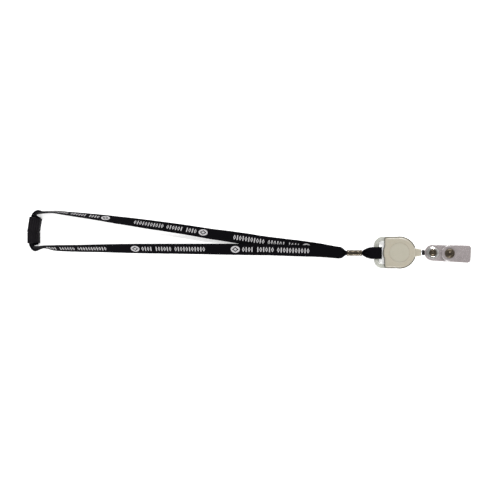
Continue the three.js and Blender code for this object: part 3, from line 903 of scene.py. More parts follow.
class WebbingLeg:
    """Stations along a leg whose face leans about its length."""

    def __init__(self, route: Sequence[Point], tape: Tape,
                 gather: tuple[float, float] = (-63.0, -53.8)) -> None:
        """Lifts the route so that the tape's lower edge has each point's height.

        Args:
            route: [x, y, roll in degrees, height of the lowest edge] points.
            tape: the webbing's section.
            gather: where the pleats begin and are complete.
        """
        self.tape, self.gather = tape, gather
        centres, rolls = [], []
        for x, y, roll, lift in route:
            lean = math.radians(abs(roll))
            drawn = self.drawn(x)
            width = lerp(tape.width, tape.gathered_width, drawn)
            thick = lerp(tape.thick, 1.7, drawn)
            centres.append(Vector((x, y, lift + (width * math.sin(lean) + thick * math.cos(lean)) / 2)))
            rolls.append(Vector((roll, 0, 0)))
        self.line, self.roll = Spline(centres), Spline(rolls)

    def drawn(self, x: float) -> float:
        """Returns how far the webbing is gathered at x, from 0 to 1."""
        return smooth(self.gather[0], self.gather[1], x) ** 2

    def stations(self, step: float = 1.4, fine: int = 4000) -> list[Station]:
        """Returns stations at even distances along the leg.

        Args:
            step: the distance between stations, or just about.
            fine: how many spans the length is measured with.

        Returns:
            The stations.
        """
        shares = [index / fine for index in range(fine + 1)]
        trail = [self.line.at(share) for share in shares]
        run = run_along(trail)
        count = max(2, round(run[-1] / step))
        stations, cursor = [], 0
        for index in range(count + 1):
            goal = run[-1] * index / count
            while cursor < fine - 1 and run[cursor + 1] < goal:
                cursor += 1
            part = (goal - run[cursor]) / max(run[cursor + 1] - run[cursor], 1e-9)
            share = (cursor + min(max(part, 0.0), 1.0)) / fine
            stations.append(self.station(share, goal))
        return stations

    def station(self, share: float, length: float) -> Station:
        """Returns the station at a share of the way along.

        Args:
            share: how far along, from 0 to 1.
            length: the distance along at that share.

        Returns:
            The station.
        """
        centre, nudge = self.line.at(share), 1e-4
        tangent = (self.line.at(share + nudge) - self.line.at(share - nudge)).normalized()
        roll = math.radians(self.roll.at(share).x)
        side = tangent.cross(Vector((0, 0, 1))).normalized()
        up = side.cross(tangent)
        across = side * math.cos(roll) - up * math.sin(roll)
        normal = up * math.cos(roll) + side * math.sin(roll)
        return Station(centre, -across, normal, self.drawn(centre.x), length)


# ---------------------------------------------------------------- studio
@dataclass(frozen=True)
class Lamp:
    """One soft box over the table, placed by its compass bearing and height about the reel."""

    name: str
    bearing: float
    height: float
    distance: float
    size: tuple[float, float]
    power: float


@dataclass(frozen=True)
class Studio:
    """Camera, pale floor and soft boxes."""

    eye: tuple[float, float, float] = (-0.0548, 0.0026, 0.5909)
    target: tuple[float, float, float] = (-0.1590, 0.0026, 0.0)
    focal: float = 39.27
    floor_level: float = -0.0001
    floor_half: float = 6.0
    room_range: tuple[float, float, float, float] = (0.35, 0.82, 1.6, 0.36)
    lamps: tuple[Lamp, ...] = (
        Lamp("key_box", 72, 56, 1.1, (0.26, 0.20), 8.0),
        Lamp("window_left_pane", -101, 31, 1.2, (0.10, 0.18), 4.2),
        Lamp("window_right_pane", -82, 31, 1.2, (0.10, 0.18), 4.2),
    )

    def camera(self) -> None:
        """Places the camera above the table with +X to the right and +Y up."""
        data = bpy.data.cameras.new("table_camera")
        data.lens, data.sensor_width = self.focal, 36.0
        data.clip_start, data.clip_end = 0.01, 50.0
        camera = bpy.data.objects.new("table_camera", data)
        back = (Vector(self.eye) - Vector(self.target)).normalized()
        right = Vector((0, 1, 0)).cross(back).normalized()
        turn = Matrix((right, back.cross(right), back)).transposed().to_4x4()
        camera.matrix_world = Matrix.Translation(self.eye) @ turn
        bpy.context.scene.collection.objects.link(camera)
        bpy.context.scene.camera = camera

    def floor(self) -> None:
        """Lays the plain pale floor under the badge holder."""
        mesh = bmesh.new()
        bmesh.ops.create_grid(mesh, x_segments=1, y_segments=1, size=self.floor_half)
        bmesh.ops.translate(mesh, vec=(0, 0, self.floor_level), verts=mesh.verts)
        data = bpy.data.meshes.new("floor")
        mesh.to_mesh(data)
        mesh.free()
        data.materials.append(ShaderGraph("pale_floor").surface({
            "Base Color": (0.9, 0.9, 0.9, 1), "Roughness": 0.9, "Specular IOR Level": 0.0,
            "Emission Color": (1, 1, 1, 1), "Emission Strength": 0.5}))
        floor = bpy.data.objects.new("floor", data)
        bpy.context.scene.collection.objects.link(floor)
        floor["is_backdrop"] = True

    def lights(self) -> None:
        """Hangs the soft boxes, each turned towards the reel."""
        for lamp in self.lamps:
            light = bpy.data.lights.new(lamp.name, "AREA")
            light.shape, light.size, light.size_y = "RECTANGLE", *lamp.size
            light.energy = lamp.power
            holder = bpy.data.objects.new(lamp.name, light)
            bearing, height = math.radians(lamp.bearing), math.radians(lamp.height)
            flat = math.cos(height)
            away = Vector((math.cos(bearing) * flat, math.sin(bearing) * flat, math.sin(height)))
            turn = away.to_track_quat("Z", "Y").to_matrix().to_4x4()
            holder.matrix_world = Matrix.Translation(away * lamp.distance) @ turn
            bpy.context.scene.collection.objects.link(holder)

    def room(self) -> None:
        """Sets a pale room that is darker straight overhead."""
        world = bpy.data.worlds.new("pale_room")
        world.use_nodes = True
        tree = world.node_tree
        tree.nodes.clear()
        place = Signal(wire(tree, "TexCoord").outputs["Generated"])
        upward = Signal(wire(tree, "SeparateXYZ", {0: place}).outputs[2])
        glow = wire(tree, "Background", {0: (1, 1, 1, 1), 1: upward.remap(*self.room_range)})
        wire(tree, "OutputWorld", {0: Signal(glow.outputs[0])})
        bpy.context.scene.world = world
        bpy.context.scene.view_settings.view_transform = "Standard"

    def build(self) -> None:
        """Sets up the whole studio."""
        self.camera()
        self.floor()
        self.lights()
        self.room()


# ---------------------------------------------------------------- neck strap
@dataclass(frozen=True)
class NeckStrap:
    """The two webbing legs from the clasp to the crimp."""

    tape: Tape = Tape()
    near_route: tuple[Point, ...] = (
        (-415.9, 14.8, 0, 2.9), (-415.9, 12.4, 0, 2.9), (-415.9, 9.3, 0, 2.9), (-415.6, 6.9, 28, 1.1),
        (-413.9, 5.4, 54, 0.4), (-410.4, 5.2, 72, 0.3), (-404.2, 5.9, 81, 0.3), (-397.5, 5.7, 71, 0.3),
        (-391, 5.0, 62, 0.3), (-380, 4.7, 56, 0.3), (-358, 4.4, 51, 0.3),
        (-333, 4.5, 45, 0.3), (-309, 4.4, 37, 0.3),
        (-285, 4.2, 30, 0.3), (-261, 4.1, 27, 0.3), (-237, 3.9, 24, 0.3), (-212, 3.7, 18, 0.3),
        (-190, 3.5, 10, 0.4), (-170, 3.3, 4, 1.4), (-154, 3.1, 0, 1.7), (-138, 3.0, 0, 1.7),
        (-112, 2.1, 0, 1.7), (-86, 1.4, 0, 1.9), (-72, 0.6, 0, 2.2), (-63, -0.2, 0, 3.0),
        (-56, -0.5, 0, 3.5), (-47.5, -0.5, 0, 3.5),
    )
    corner_route: tuple[Point, ...] = (
        (-414.2, 35.2, 0, 2.9), (-413.7, 38.1, 0, 2.9), (-413, 42, 0, 2.9), (-412.4, 43.9, -25, 1.3),
        (-410.7, 45.4, -50, 0.4), (-407.2, 46, -69, 0.3), (-401.8, 46.4, -75, 0.3), (-395, 46.7, -76, 0.3),
    )
    far_route: tuple[Point, ...] = (
        (-387, 46.8, -76, 0.3), (-373, 45.0, -71, 0.3), (-358, 43.2, -65, 0.3), (-343, 41.3, -60, 0.3),
        (-328, 39.3, -54, 0.3), (-313, 37.1, -48, 0.3), (-294, 34.5, -42, 0.3), (-275, 31.7, -36, 0.3),
        (-256, 29.0, -33, 0.3), (-237, 26.2, -30, 0.3), (-219, 23.3, -27, 0.3), (-201, 20.3, -22, 0.3),
        (-187, 18.4, -14, 0.3), (-174, 16.4, -6, 0.3), (-160, 14.4, 0, 0.3), (-147, 12.2, 0, 0.3),
        (-125, 9.3, 0, 0.3), (-103, 6.6, 0, 0.3), (-85, 4.0, 0, 0.3), (-72, 1.6, 0, 0.5),
        (-63, 0.0, 0, 1.0), (-56, -0.5, 0, 1.4), (-47.5, -0.5, 0, 1.4),
    )
    near_exit: tuple[float, float, float] = (-415.9, 10.5, 3.4)
    far_exit: tuple[float, float, float] = (-413.2, 40.7, 3.4)

    def leg(self, name: str, route: Sequence[Point],
            material: bpy.types.Material) -> tuple[bpy.types.Object, list[Station]]:
        """Builds one leg and returns it with its stations.

        Args:
            name: the piece's name.
            route: [x, y, roll in degrees, height of the lowest edge] points.
            material: its finish.

        Returns:
            The leg and its stations.
        """
        stations = WebbingLeg(route, self.tape).stations()
        rings = [self.tape.ring(station) for station in stations]
        lengths = [station.length - stations[-1].length for station in stations]
        return Workshop.loft(rings, name, material, lengths, self.tape.girths()), stations

    def declare(self, piece: bpy.types.Object, stations: Sequence[Station], leave: Point) -> None:
        """Works out the clasp exit and the leg's station centres in metres and discards them; nothing is
        declared.

        Args:
            piece: the finished piece; not used.
            stations: the leg's stations.
            leave: where the cord leaves the clasp.
        """
        tuple(c * MM for c in leave)
        [tuple(station.centre * MM) for station in stations]

    def build(self, palette: Palette) -> None:
        """Builds both legs: the far one bends from the clasp's plug to the rest of the strap.

        Args:
            palette: the finishes.
        """
        near, stations = self.leg("near_webbing", self.near_route, palette.near_webbing)
        ride(near, Body.LANYARD, "near_leg")
        self.declare(near, stations, self.near_exit)
        LOG.info("near leg: %.1f mm", stations[-1].length)
        far, stations = self.leg("far_webbing", self.corner_route + self.far_route, palette.far_webbing)
        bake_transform(far)
        stand_in(far, "far_leg", "far_leg_end")
        self.declare(far, stations, self.far_exit)
        LOG.info("far leg: %.1f mm", stations[-1].length)


@dataclass(frozen=True)
class ReelLoop:
    """The short unprinted loop from the crimp round the reel's strap bar."""

    tape: Tape = Tape()
    y: float = -0.5
    turn: tuple[float, float] = (-21.35, 4.3)
    radius: float = 3.5
    upper: tuple[Point, ...] = ((-44.5, 4.3), (-38.5, 4.35), (-35.5, 5.2), (-31.5, 6.5), (-27.5, 7.5))
    lower: tuple[Point, ...] = ((-27.5, 1.0), (-31.5, 1.3), (-35.5, 1.8), (-38.5, 2.25), (-44.5, 2.3))
    spread: tuple[float, float] = (-37.5, -27.0)
    steps: int = 120

    def drawn(self, x: float) -> float:
        """Returns how far the webbing is gathered at x, from 0 to 1."""
        share = (x - self.spread[0]) / (self.spread[1] - self.spread[0])
        return (1 - min(max(share, 0.0), 1.0)) ** 2

    def build(self, palette: Palette) -> None:
        """Builds the loop with its pleats folded alike in both layers.

        Args:
            palette: the finishes.
        """
        turn = Workshop.arc(self.turn, self.radius, 90, -90, 6)
        line = Spline([Vector((x, self.y, z)) for x, z in [*self.upper, *turn, *self.lower]])
        shares = [index / self.steps for index in range(self.steps + 1)]
        centres = [line.at(share) for share in shares]
        rings, lengths = [], run_along(centres)
        for share, centre, length in zip(shares, centres, lengths):
            tangent = (line.at(share + 1e-3) - line.at(share - 1e-3)).normalized()
            normal = Vector((-tangent.z, 0, tangent.x))
            station = Station(centre, Vector((0, 1, 0)), normal, self.drawn(centre.x), length)
            rings.append(self.tape.ring(station, 1.0 if share < 0.5 else -1.0))
        piece = Workshop.loft(rings, "loop_webbing", palette.plain_webbing, lengths, self.tape.girths())
        ride(piece, Body.LANYARD, "reel_loop")


@dataclass(frozen=True)
class Crimp:
    """The nickel barrel pressed round both legs and the loop, with a rolled collar at each end."""

    start: float = -53.4
    end: float = -38.0
    y: float = -0.5
    z: float = 3.3
    half_width: float = 3.1
    half_height: float = 2.8
    corner: float = 2.2
    wall: float = 0.45
    collar: float = 2.4
    groove: float = 0.34

    def profile(self) -> list[tuple[float, float]]:
        """Returns [x, how far the wall stands in] points from one lip to the other.

        Returns:
            The profile.
        """
        s, e, c = self.start, self.end, self.collar
        dent = (s + e) / 2
        return [
            (s, 0.22), (s + 0.12, 0.07), (s + 0.35, 0.0), (s + c - 0.55, 0.0), (s + c - 0.25, 0.1),
            (s + c, self.groove), (s + c + 0.25, self.groove), (s + c + 0.5, 0.12), (s + c + 0.9, 0.06),
            (dent - 2.2, 0.06), (dent - 1.2, 0.14), (dent, 0.2), (dent + 1.2, 0.14), (dent + 2.2, 0.06),
            (e - c - 0.9, 0.06), (e - c - 0.5, 0.12), (e - c - 0.25, self.groove), (e - c, self.groove),
            (e - c + 0.25, 0.1), (e - c + 0.55, 0.0), (e - 0.35, 0.0), (e - 0.12, 0.07), (e, 0.22),
        ]

    def ring(self, x: float, inset: float) -> list[Vector]:
        """Returns the barrel's section at x, drawn in by inset.

        Args:
            x: distance along the barrel.
            inset: how far the outline is drawn in.

        Returns:
            The ring of points.
        """
        radius = max(self.corner - inset, 0.6)
        outline = Workshop.rounded_box(self.half_width - inset, self.half_height - inset, radius, 8)
        return [Vector((x, self.y + across, self.z + up)) for across, up in outline]

    def build(self, palette: Palette) -> None:
        """Builds the barrel as one closed wall.

        Args:
            palette: the finishes.
        """
        outer = [self.ring(x, inset) for x, inset in self.profile()]
        inner = [self.ring(x, self.wall)
                 for x in (self.end - 0.05, self.end - 1, self.start + 1, self.start + 0.05)]
        rings = outer + inner + [outer[0]]
        piece = Workshop.loft(rings, "crimp", palette.nickel, capped=False)
        ride(piece, Body.LANYARD, "crimp_barrel")


# ---------------------------------------------------------------- breakaway clasp
@dataclass(frozen=True)
class BreakawayClasp:
    """The black clasp: a socket half and a plug half that pulls out of it."""

    x: float = -415.9
    half_width: float = 7.3
    half_height: float = 3.0
    middle: float = 3.4
    corner: float = 1.7
    rib_depth: float = 0.28
    socket_start: float = 10.5
    socket_length: float = 13.2
    plug_y: float = 25.6
    plug_length: float = 15.3
    tilt: float = -10.0
    seam: float = -1.84
    cavity: tuple[float, float, float] = (5.6, 1.7, 8.2)
    pocket_half: tuple[float, float] = (6.6, 1.7)
    socket_pocket: float = 4.4
    plug_pocket: float = 7.5

    def ring(self, y: float, inset: float, ribbed: float) -> list[Vector]:
        """Returns a body section at y, with shallow lengthwise ribs on both faces.

        Args:
            y: distance along the half.
            inset: how far the outline is drawn in.
            ribbed: how deep the ribs are, from 0 to 1.

        Returns:
            The ring of points.
        """
        outline = Workshop.rounded_box(self.half_width - inset, self.half_height - inset,
                                       max(self.corner - inset * 0.6, 0.5), 6)
        dense = []
        for (ax, az), (bx, bz) in zip(outline, outline[1:] + outline[:1]):
            pieces = max(1, round(abs(bx - ax) / 0.32))
            dense += [(lerp(ax, bx, k / pieces), lerp(az, bz, k / pieces)) for k in range(pieces)]
        points = []
        for across, up in self.even(dense):
            reach = 1 - smooth(4.6, 6.0, abs(across))
            wave = 0.5 - 0.5 * math.cos(2 * math.pi * across / 2.8)
            sink = ribbed * self.rib_depth * reach * wave ** 2 * (1 if abs(up) > 1.5 else 0)
            points.append(Vector((across, y, self.middle + up - math.copysign(sink, up))))
        return points

    def even(self, outline: Sequence[Point], count: int = 112) -> list[tuple[float, float]]:
        """Returns count points at even distances round a closed outline.

        Args:
            outline: a closed outline.
            count: how many points are returned.

        Returns:
            The points.
        """
        closed = [*outline, outline[0]]
        run = [0.0]
        for a, b in zip(closed, closed[1:]):
            run.append(run[-1] + math.dist(a, b))
        points, cursor = [], 0
        for index in range(count):
            goal = run[-1] * index / count
            while run[cursor + 1] < goal:
                cursor += 1
            part = (goal - run[cursor]) / max(run[cursor + 1] - run[cursor], 1e-9)
            a, b = closed[cursor], closed[cursor + 1]
            points.append((lerp(a[0], b[0], part), lerp(a[1], b[1], part)))
        return points

    def hollow(self, y: float, half_width: float, half_height: float) -> list[Vector]:
        """Returns a section of a pocket at y."""
        outline = self.even(Workshop.rounded_box(half_width, half_height, 0.4, 6))
        return [Vector((across, y, self.middle + up)) for across, up in outline]

    def skewed(self, ring: Sequence[Vector]) -> list[Vector]:
        """Draws a ring near the plug's shoulder out to meet the socket's mouth squarely.

        Args:
            ring: a ring in the plug's own place.

        Returns:
            The moved ring.
        """
        meet = math.tan(math.radians(self.tilt))
        moved = []
        for point in ring:
            share = 1 - smooth(0.0, 5.5, point.y)
            moved.append(Vector((point.x, point.y + share * (self.seam - meet * point.x), point.z)))
        return moved

    def body(self, length: float, near_pocket: Point, far_pocket: Point) -> list[list[Vector]]:
        """Returns the rings of one half, from the floor of its near pocket to the floor of its far one.

        Args:
            length: the half's length along Y.
            near_pocket: half width, half height and depth of the pocket at y = 0, or a depth of 0.
            far_pocket: the same at y = length.

        Returns:
            The rings.
        """
        rings = []
        if near_pocket[2]:
            rings += [self.hollow(near_pocket[2], *near_pocket[:2]), self.hollow(0.25, *near_pocket[:2])]
            rings.append(self.hollow(0.0, near_pocket[0] + 0.12, near_pocket[1] + 0.12))
        else:
            rings.append(self.ring(0.0, 2.2, 0.0))
        ends = ((0.0, 0.75), (0.12, 0.42), (0.4, 0.14), (0.85, 0.0))
        rings += [self.ring(y, inset, 0.0) for y, inset in ends]
        spots = [1.6, 2.2, 3.0]
        spots += [length * k / 8 for k in range(3, 6)] + [length - y for y in reversed(spots)]
        rings += [self.ring(y, 0.0, smooth(1.4, 2.6, y) * smooth(1.4, 2.6, length - y))
                  for y in sorted(spots)]
        rings += [self.ring(length - y, inset, 0.0) for y, inset in reversed(ends)]
        if far_pocket[2]:
            rings.append(self.hollow(length, far_pocket[0] + 0.12, far_pocket[1] + 0.12))
            rings += [self.hollow(length - depth, *far_pocket[:2]) for depth in (0.25, far_pocket[2])]
        else:
            rings.append(self.ring(length, 2.2, 0.0))
        return rings

    def prong_outline(self) -> list[tuple[float, float]]:
        """Returns the outline of the plug's two springy prongs with a barb on each.

        Returns:
            The outline.
        """
        half, length = 3.6, 6.5
        right = [(half, 1.2), (half, 2.4 - length), (half + 0.5, 1.7 - length), (half - 0.6, -length),
                 (1.1, -length), (1.1, -1.2)]
        return right + [(-x, y) for x, y in reversed(right)]

    def build(self, palette: Palette) -> None:
        """Builds the socket on the strap and the plug with its prongs.

        Args:
            palette: the finishes.
        """
        to_socket = Matrix.Translation((self.x, self.socket_start, 0))
        rings = self.body(self.socket_length, (*self.pocket_half, self.socket_pocket), self.cavity)
        socket = Workshop.loft([[to_socket @ p for p in ring] for ring in rings], "clasp_socket",
                               palette.black_plastic)
        ride(socket, Body.LANYARD, "clasp_socket_shell")
        to_plug = placed((self.x, self.plug_y, 0), self.tilt, "Z")
        rings = self.body(self.plug_length, (0, 0, 0), (*self.pocket_half, self.plug_pocket))
        plug = Workshop.loft([[to_plug @ p for p in self.skewed(ring)] for ring in rings], "clasp_plug",
                             palette.black_plastic)
        ride(plug, Body.CLASP_PLUG, "clasp_plug_shell")
        prongs = Workshop.slab(self.prong_outline(), self.middle - 1.3, self.middle + 1.3, "clasp_prongs",
                               palette.black_plastic, to_plug, 0.3)
        ride(prongs, Body.CLASP_PLUG)
        dress("clasp_socket_wedge", palette.black_plastic)
        dress("clasp_plug_wedge", palette.black_plastic)


# ---------------------------------------------------------------- reel
@dataclass(frozen=True)
class ReelOutline:
    """The reel's plan: a disc with squared shoulders towards the strap."""

    radius: float = 16.7
    half: float = 16.5
    shoulder: float = -15.4
    corner: float = 2.5
    columns: int = 240

    def reach(self, angle: float, inset: float) -> float:
        """Returns the distance from the middle to the outline, drawn in by inset, at an angle in radians.

        Args:
            angle: the direction, in radians.
            inset: how far the outline is drawn in.

        Returns:
            The distance.
        """
        cosine, sine = math.cos(angle), math.sin(angle)
        disc, half, left = self.radius - inset, self.half - inset, -(self.shoulder + inset)
        best = disc
        if cosine < 0:
            corner = max(self.corner - inset * 0.35, 0.5)
            flat_up = half / max(abs(sine), 1e-6)
            flat_left = left / max(-cosine, 1e-6)
            square = min(flat_up, flat_left)
            cx, cy = left - corner, half - corner
            x, y = square * -cosine, square * abs(sine)
            if x > cx and y > cy:
                along = cx * -cosine + cy * abs(sine)
                square = along + math.sqrt(max(along * along - (cx * cx + cy * cy - corner * corner), 0.0))
            best = max(disc, square)
        return best

    def ring(self, inset: float, height: float | Callable[[float], float], circle: float = 0.0,
             radius: float = 0.0) -> list[Vector]:
        """Returns one ring of the outline.

        Args:
            inset: how far the outline is drawn in.
            height: the ring's height, or a function of the angle.
            circle: how far the ring has become a plain circle, from 0 to 1.
            radius: that circle's radius.

        Returns:
            The ring of points.
        """
        points = []
        for index in range(self.columns):
            angle = 2 * math.pi * index / self.columns
            reach = lerp(self.reach(angle, inset), radius, circle)
            level = height(angle) if callable(height) else height
            points.append(Vector((reach * math.cos(angle), reach * math.sin(angle), level)))
        return points


@dataclass(frozen=True)
class ReelCasing:
    """The clear casing: a shallow tub under the face, and the strap slot's frame."""

    outline: ReelOutline = ReelOutline()
    wall: float = 0.8
    floor: float = 1.2
    rim: float = 8.4
    mouth: float = 0.293
    bar_x: float = -22.9
    arm_y: float = 14.25
    turn: float = 5.9

    def wall_top(self, level: float) -> Callable[[float], float]:
        """Returns a height that drops to the floor where the nose passes through the wall.

        Args:
            level: the wall's height away from the nose.

        Returns:
            The height, as a function of the angle in radians.
        """
        def height(angle: float) -> float:
            """Returns the wall's height at an angle."""
            gap = abs(math.remainder(angle, 2 * math.pi))
            return level if gap > self.mouth else min(level, self.floor)
        return height

    def tub(self, palette: Palette) -> None:
        """Builds the tub with its rounded foot and lip, in the darker copy of the clear plastic whose extra
        darkness is painted shade.

        Args:
            palette: the finishes.
        """
        ring, top = self.outline.ring, self.wall_top
        rings = [
            ring(0, 0.0, 1.0, 0.01), ring(4.0, 0.0), ring(1.0, 0.0), ring(0.45, 0.12), ring(0.12, 0.45),
            ring(0.0, 1.0), ring(0.0, top(4.5)), ring(0.0, top(self.rim - 0.35)),
            ring(0.1, top(self.rim - 0.1)), ring(0.3, top(self.rim)), ring(self.wall - 0.25, top(self.rim)),
            ring(self.wall - 0.05, top(self.rim - 0.2)), ring(self.wall, top(4.5)),
            ring(self.wall, self.floor), ring(4.0, self.floor), ring(0, self.floor, 1.0, 0.01),
        ]
        # The tub takes the darker casing copy, which is painted shade.
        piece = Workshop.loft(rings, "reel_casing", palette.shade_painted_casing)
        ride(piece, Body.REEL, "reel_back_shell")

    def slot_frame(self, palette: Palette) -> None:
        """Sweeps the rounded frame round the strap slot, from one shoulder to the other.

        Args:
            palette: the finishes.
        """
        inner, start = self.bar_x + self.turn, -12.9
        top = self.arm_y - self.turn
        line = [(start, self.arm_y), (start - 2.0, self.arm_y), (start - 4.0, self.arm_y)]
        line += Workshop.arc((inner, top), self.turn, 90, 180, 12)
        line += [(self.bar_x, top * k / 6) for k in range(5, 0, -1)]
        path = line + [(self.bar_x, 0.0)] + [(x, -y) for x, y in reversed(line)]
        rings = []
        for index, (x, y) in enumerate(path):
            before, after = neighbours(path, index)
            tangent = Vector((after[0] - before[0], after[1] - before[1], 0)).normalized()
            side = Vector((tangent.y, -tangent.x, 0))
            bar = 1 - smooth(9.5, 13.5, abs(y))
            half_width, half_height = lerp(2.25, 2.6, bar), lerp(2.5, 2.1, bar)
            section = Workshop.rounded_box(half_width, half_height, lerp(0.9, 2.0, bar), 6)
            rings.append([Vector((x, y, 4.3)) + side * across + Vector((0, 0, up)) for across, up in section])
        piece = Workshop.loft(rings, "slot_frame", palette.clear_plastic)
        ride(piece, Body.REEL)

    def build(self, palette: Palette) -> None:
        """Builds the casing."""
        self.tub(palette)
        self.slot_frame(palette)


@dataclass(frozen=True)
class ReelFace:
    """The ivory face with its broad rounded rim, the recess for the label and the nose."""

    outline: ReelOutline = ReelOutline()
    inset: float = 1.1
    low: float = 1.5
    top: float = 8.9
    recess: float = 10.1
    bore: float = 1.7
    cord_z: float = 4.2

    def face(self, palette: Palette) -> None:
        """Builds the face as one closed shell.

        Args:
            palette: the finishes.
        """
        ring, inset, top = self.outline.ring, self.inset, self.top
        rounding = [(0.0, 1.7), (0.06, 1.25), (0.24, 0.84), (0.53, 0.52), (0.92, 0.28), (1.4, 0.12),
                    (2.0, 0.04)]
        rings = [ring(0, 7.2, 1.0, 0.01), ring(inset + 2.4, 7.2), ring(inset + 1.2, 6.4),
                 ring(inset + 1.2, self.low)]
        rings += [ring(inset, self.low), ring(inset, 4.0)]
        rings += [ring(inset - 0.35 + drawn, top - drop) for drawn, drop in rounding]
        rings += [ring(inset + 3.0, top, share, self.recess + 0.75) for share in (0.4, 0.8, 1.0)]
        rings += [ring(0, top - drop, 1.0, self.recess + out)
                  for out, drop in ((0.35, 0.02), (0.12, 0.06), (0.0, 0.16), (0.0, 0.3), (-5.0, 0.3))]
        rings.append(ring(0, top - 0.3, 1.0, 0.01))
        piece = Workshop.loft(rings, "reel_face", palette.ivory, sharp=50)
        ride(piece, Body.REEL, "reel_front_shell")

    def nose(self, palette: Palette) -> None:
        """Builds the nose that the cord leaves through, with its bore.

        Args:
            palette: the finishes.
        """
        spans = [(14.0, 4.4, 0.0), (16.4, 4.4, 0.0), (18.0, 4.05, 0.0), (19.4, 3.72, 0.0), (21.2, 3.52, 0.0),
                 (21.6, 3.45, 0.12), (21.8, 3.25, 0.4)]
        middle, half_height = (1.5 + 7.2) / 2, (7.2 - 1.5) / 2
        rings = []
        for x, half_width, inset in spans:
            section = Workshop.rounded_box(half_width, half_height - inset, 1.25, 7)
            rings.append([Vector((x, across, middle + up)) for across, up in section])
        for x, radius in ((21.8, self.bore + 0.15), (21.6, self.bore), (14.0, self.bore)):
            angles = [math.atan2(p.z - self.cord_z, p.y) for p in rings[0]]
            rings.append([Vector((x, radius * math.cos(a), self.cord_z + radius * math.sin(a)))
                          for a in angles])
        rings.append(rings[0])
        piece = Workshop.loft(rings, "reel_nose", palette.ivory, capped=False)
        ride(piece, Body.REEL)

    def build(self, palette: Palette) -> None:
        """Builds the face, the nose and the label's finish.

        Args:
            palette: the finishes.
        """
        self.face(palette)
        self.nose(palette)
        dress("reel_label", palette.label)


@dataclass(frozen=True)
class ReelWorks:
    """What the reel holds: spool, spring, post, wound cord and the eyelet in the nose."""

    cord_radius: float = 0.5
    cord_z: float = 4.2
    turns: int = 5
    lead: tuple[Point, ...] = ((11.31, -6.80), (12.9, -4.2), (14.1, -1.7), (15.6, -0.3), (17.4, 0), (18.2, 0))

    def tube(self, line: Sequence[Vector], name: str, palette: Palette, radius: float,
             sides: int = 10) -> bpy.types.Object:
        """Builds a round cord along a level or gently climbing line.

        Args:
            line: the middle of the cord.
            name: the piece's name.
            palette: the finishes.
            radius: the cord's radius.
            sides: how many sides the cord has.

        Returns:
            The new object.
        """
        rings = []
        for index, centre in enumerate(line):
            before, after = neighbours(line, index)
            tangent = (after - before).normalized()
            side = tangent.cross(Vector((0, 0, 1))).normalized()
            up = side.cross(tangent)
            rings.append([centre + (side * math.cos(a) + up * math.sin(a)) * radius
                          for a in (2 * math.pi * k / sides for k in range(sides))])
        girths = [2 * math.pi * radius * k / sides for k in range(sides + 1)]
        return Workshop.loft(rings, name, palette.cord, run_along(line), girths)

    def winding(self, palette: Palette) -> None:
        """Winds the cord in two layers round the spool's drum.

        Args:
            palette: the finishes.
        """
        line, steps = [], 40
        for layer, radius in enumerate((10.98, 11.9)):
            for index in range(self.turns * steps):
                share = index / (self.turns * steps)
                level = lerp(3.55, 5.05, share if layer == 0 else 1 - share)
                out = radius - 0.46 * (1 - smooth(0.0, 0.08, share)) * layer
                angle = 2 * math.pi * index / steps
                line.append(Vector((out * math.cos(angle), out * math.sin(angle), level)))
        piece = self.tube(line, "wound_cord", palette, 0.36, 8)
        ride(piece, Body.SPOOL, "cord_winding")

    def build(self, palette: Palette) -> None:
        """Builds the cord inside the reel and dresses the works.

        Args:
            palette: the finishes.
        """
        self.winding(palette)
        guide = Spline([Vector((x, y, self.cord_z)) for x, y in self.lead])
        lead = self.tube([guide.at(k / 24) for k in range(25)], "lead_cord", palette, self.cord_radius)
        ride(lead, Body.REEL, "cord_lead")
        dress("cord_bushing", palette.steel)
        dress("spiral_spring", palette.steel)
        dress("spool", palette.white_plastic)
        dress("spool_post", palette.white_plastic)


@dataclass(frozen=True)
class CordEnd:
    """The cord's own end: the pull line, the moulded stop, the knot in it and the link to the strap."""

    cord_z: float = 4.2
    stop_start: float = 22.9
    stop_length: float = 2.1
    stop_radius: float = 2.8

    def build(self, palette: Palette) -> None:
        """Builds the cord's end.

        Args:
            palette: the finishes.
        """
        works = ReelWorks()
        line = [Vector((18.5 + 5.1 * k / 80, 0, self.cord_z)) for k in range(81)]
        pull = works.tube(line, "pull_line", palette, works.cord_radius)
        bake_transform(pull)
        stand_in(pull, "pull_cord")
        lay = placed((self.stop_start, 0, self.cord_z), 90, "Y")
        length, radius = self.stop_length, self.stop_radius
        profile = [(0.8, 0.05), (0.9, 0.0), (radius - 0.7, 0.0)]
        profile += Workshop.arc((radius - 0.7, 0.7), 0.7, -90, 0, 5)
        profile += Workshop.arc((radius - 0.7, length - 0.7), 0.7, 0, 90, 5)
        profile += [(2.15, length), (2.0, length - 0.15), (2.0, 0.85), (0.8, 0.85), (0.8, 0.05)]
        stop = Workshop.turned(profile, "cord_bead", palette.black_plastic, lay)
        ride(stop, Body.CORD_END, "cord_stop")
        knot = Workshop.turned(
            [(0.0, -0.5), (0.5, -0.47), (0.95, -0.3), (1.15, -0.05), (1.2, 0.05), (1.0, 0.28), (0.8, 0.3),
             (0.62, 0.47), (0.3, 0.5), (0.0, 0.5)],
            "cord_end_knot", palette.cord,
            placed((24.45, 0, self.cord_z), 90, "Y"), 24)
        ride(knot, Body.CORD_END, "cord_knot")
        dress("link_tab", palette.nickel)


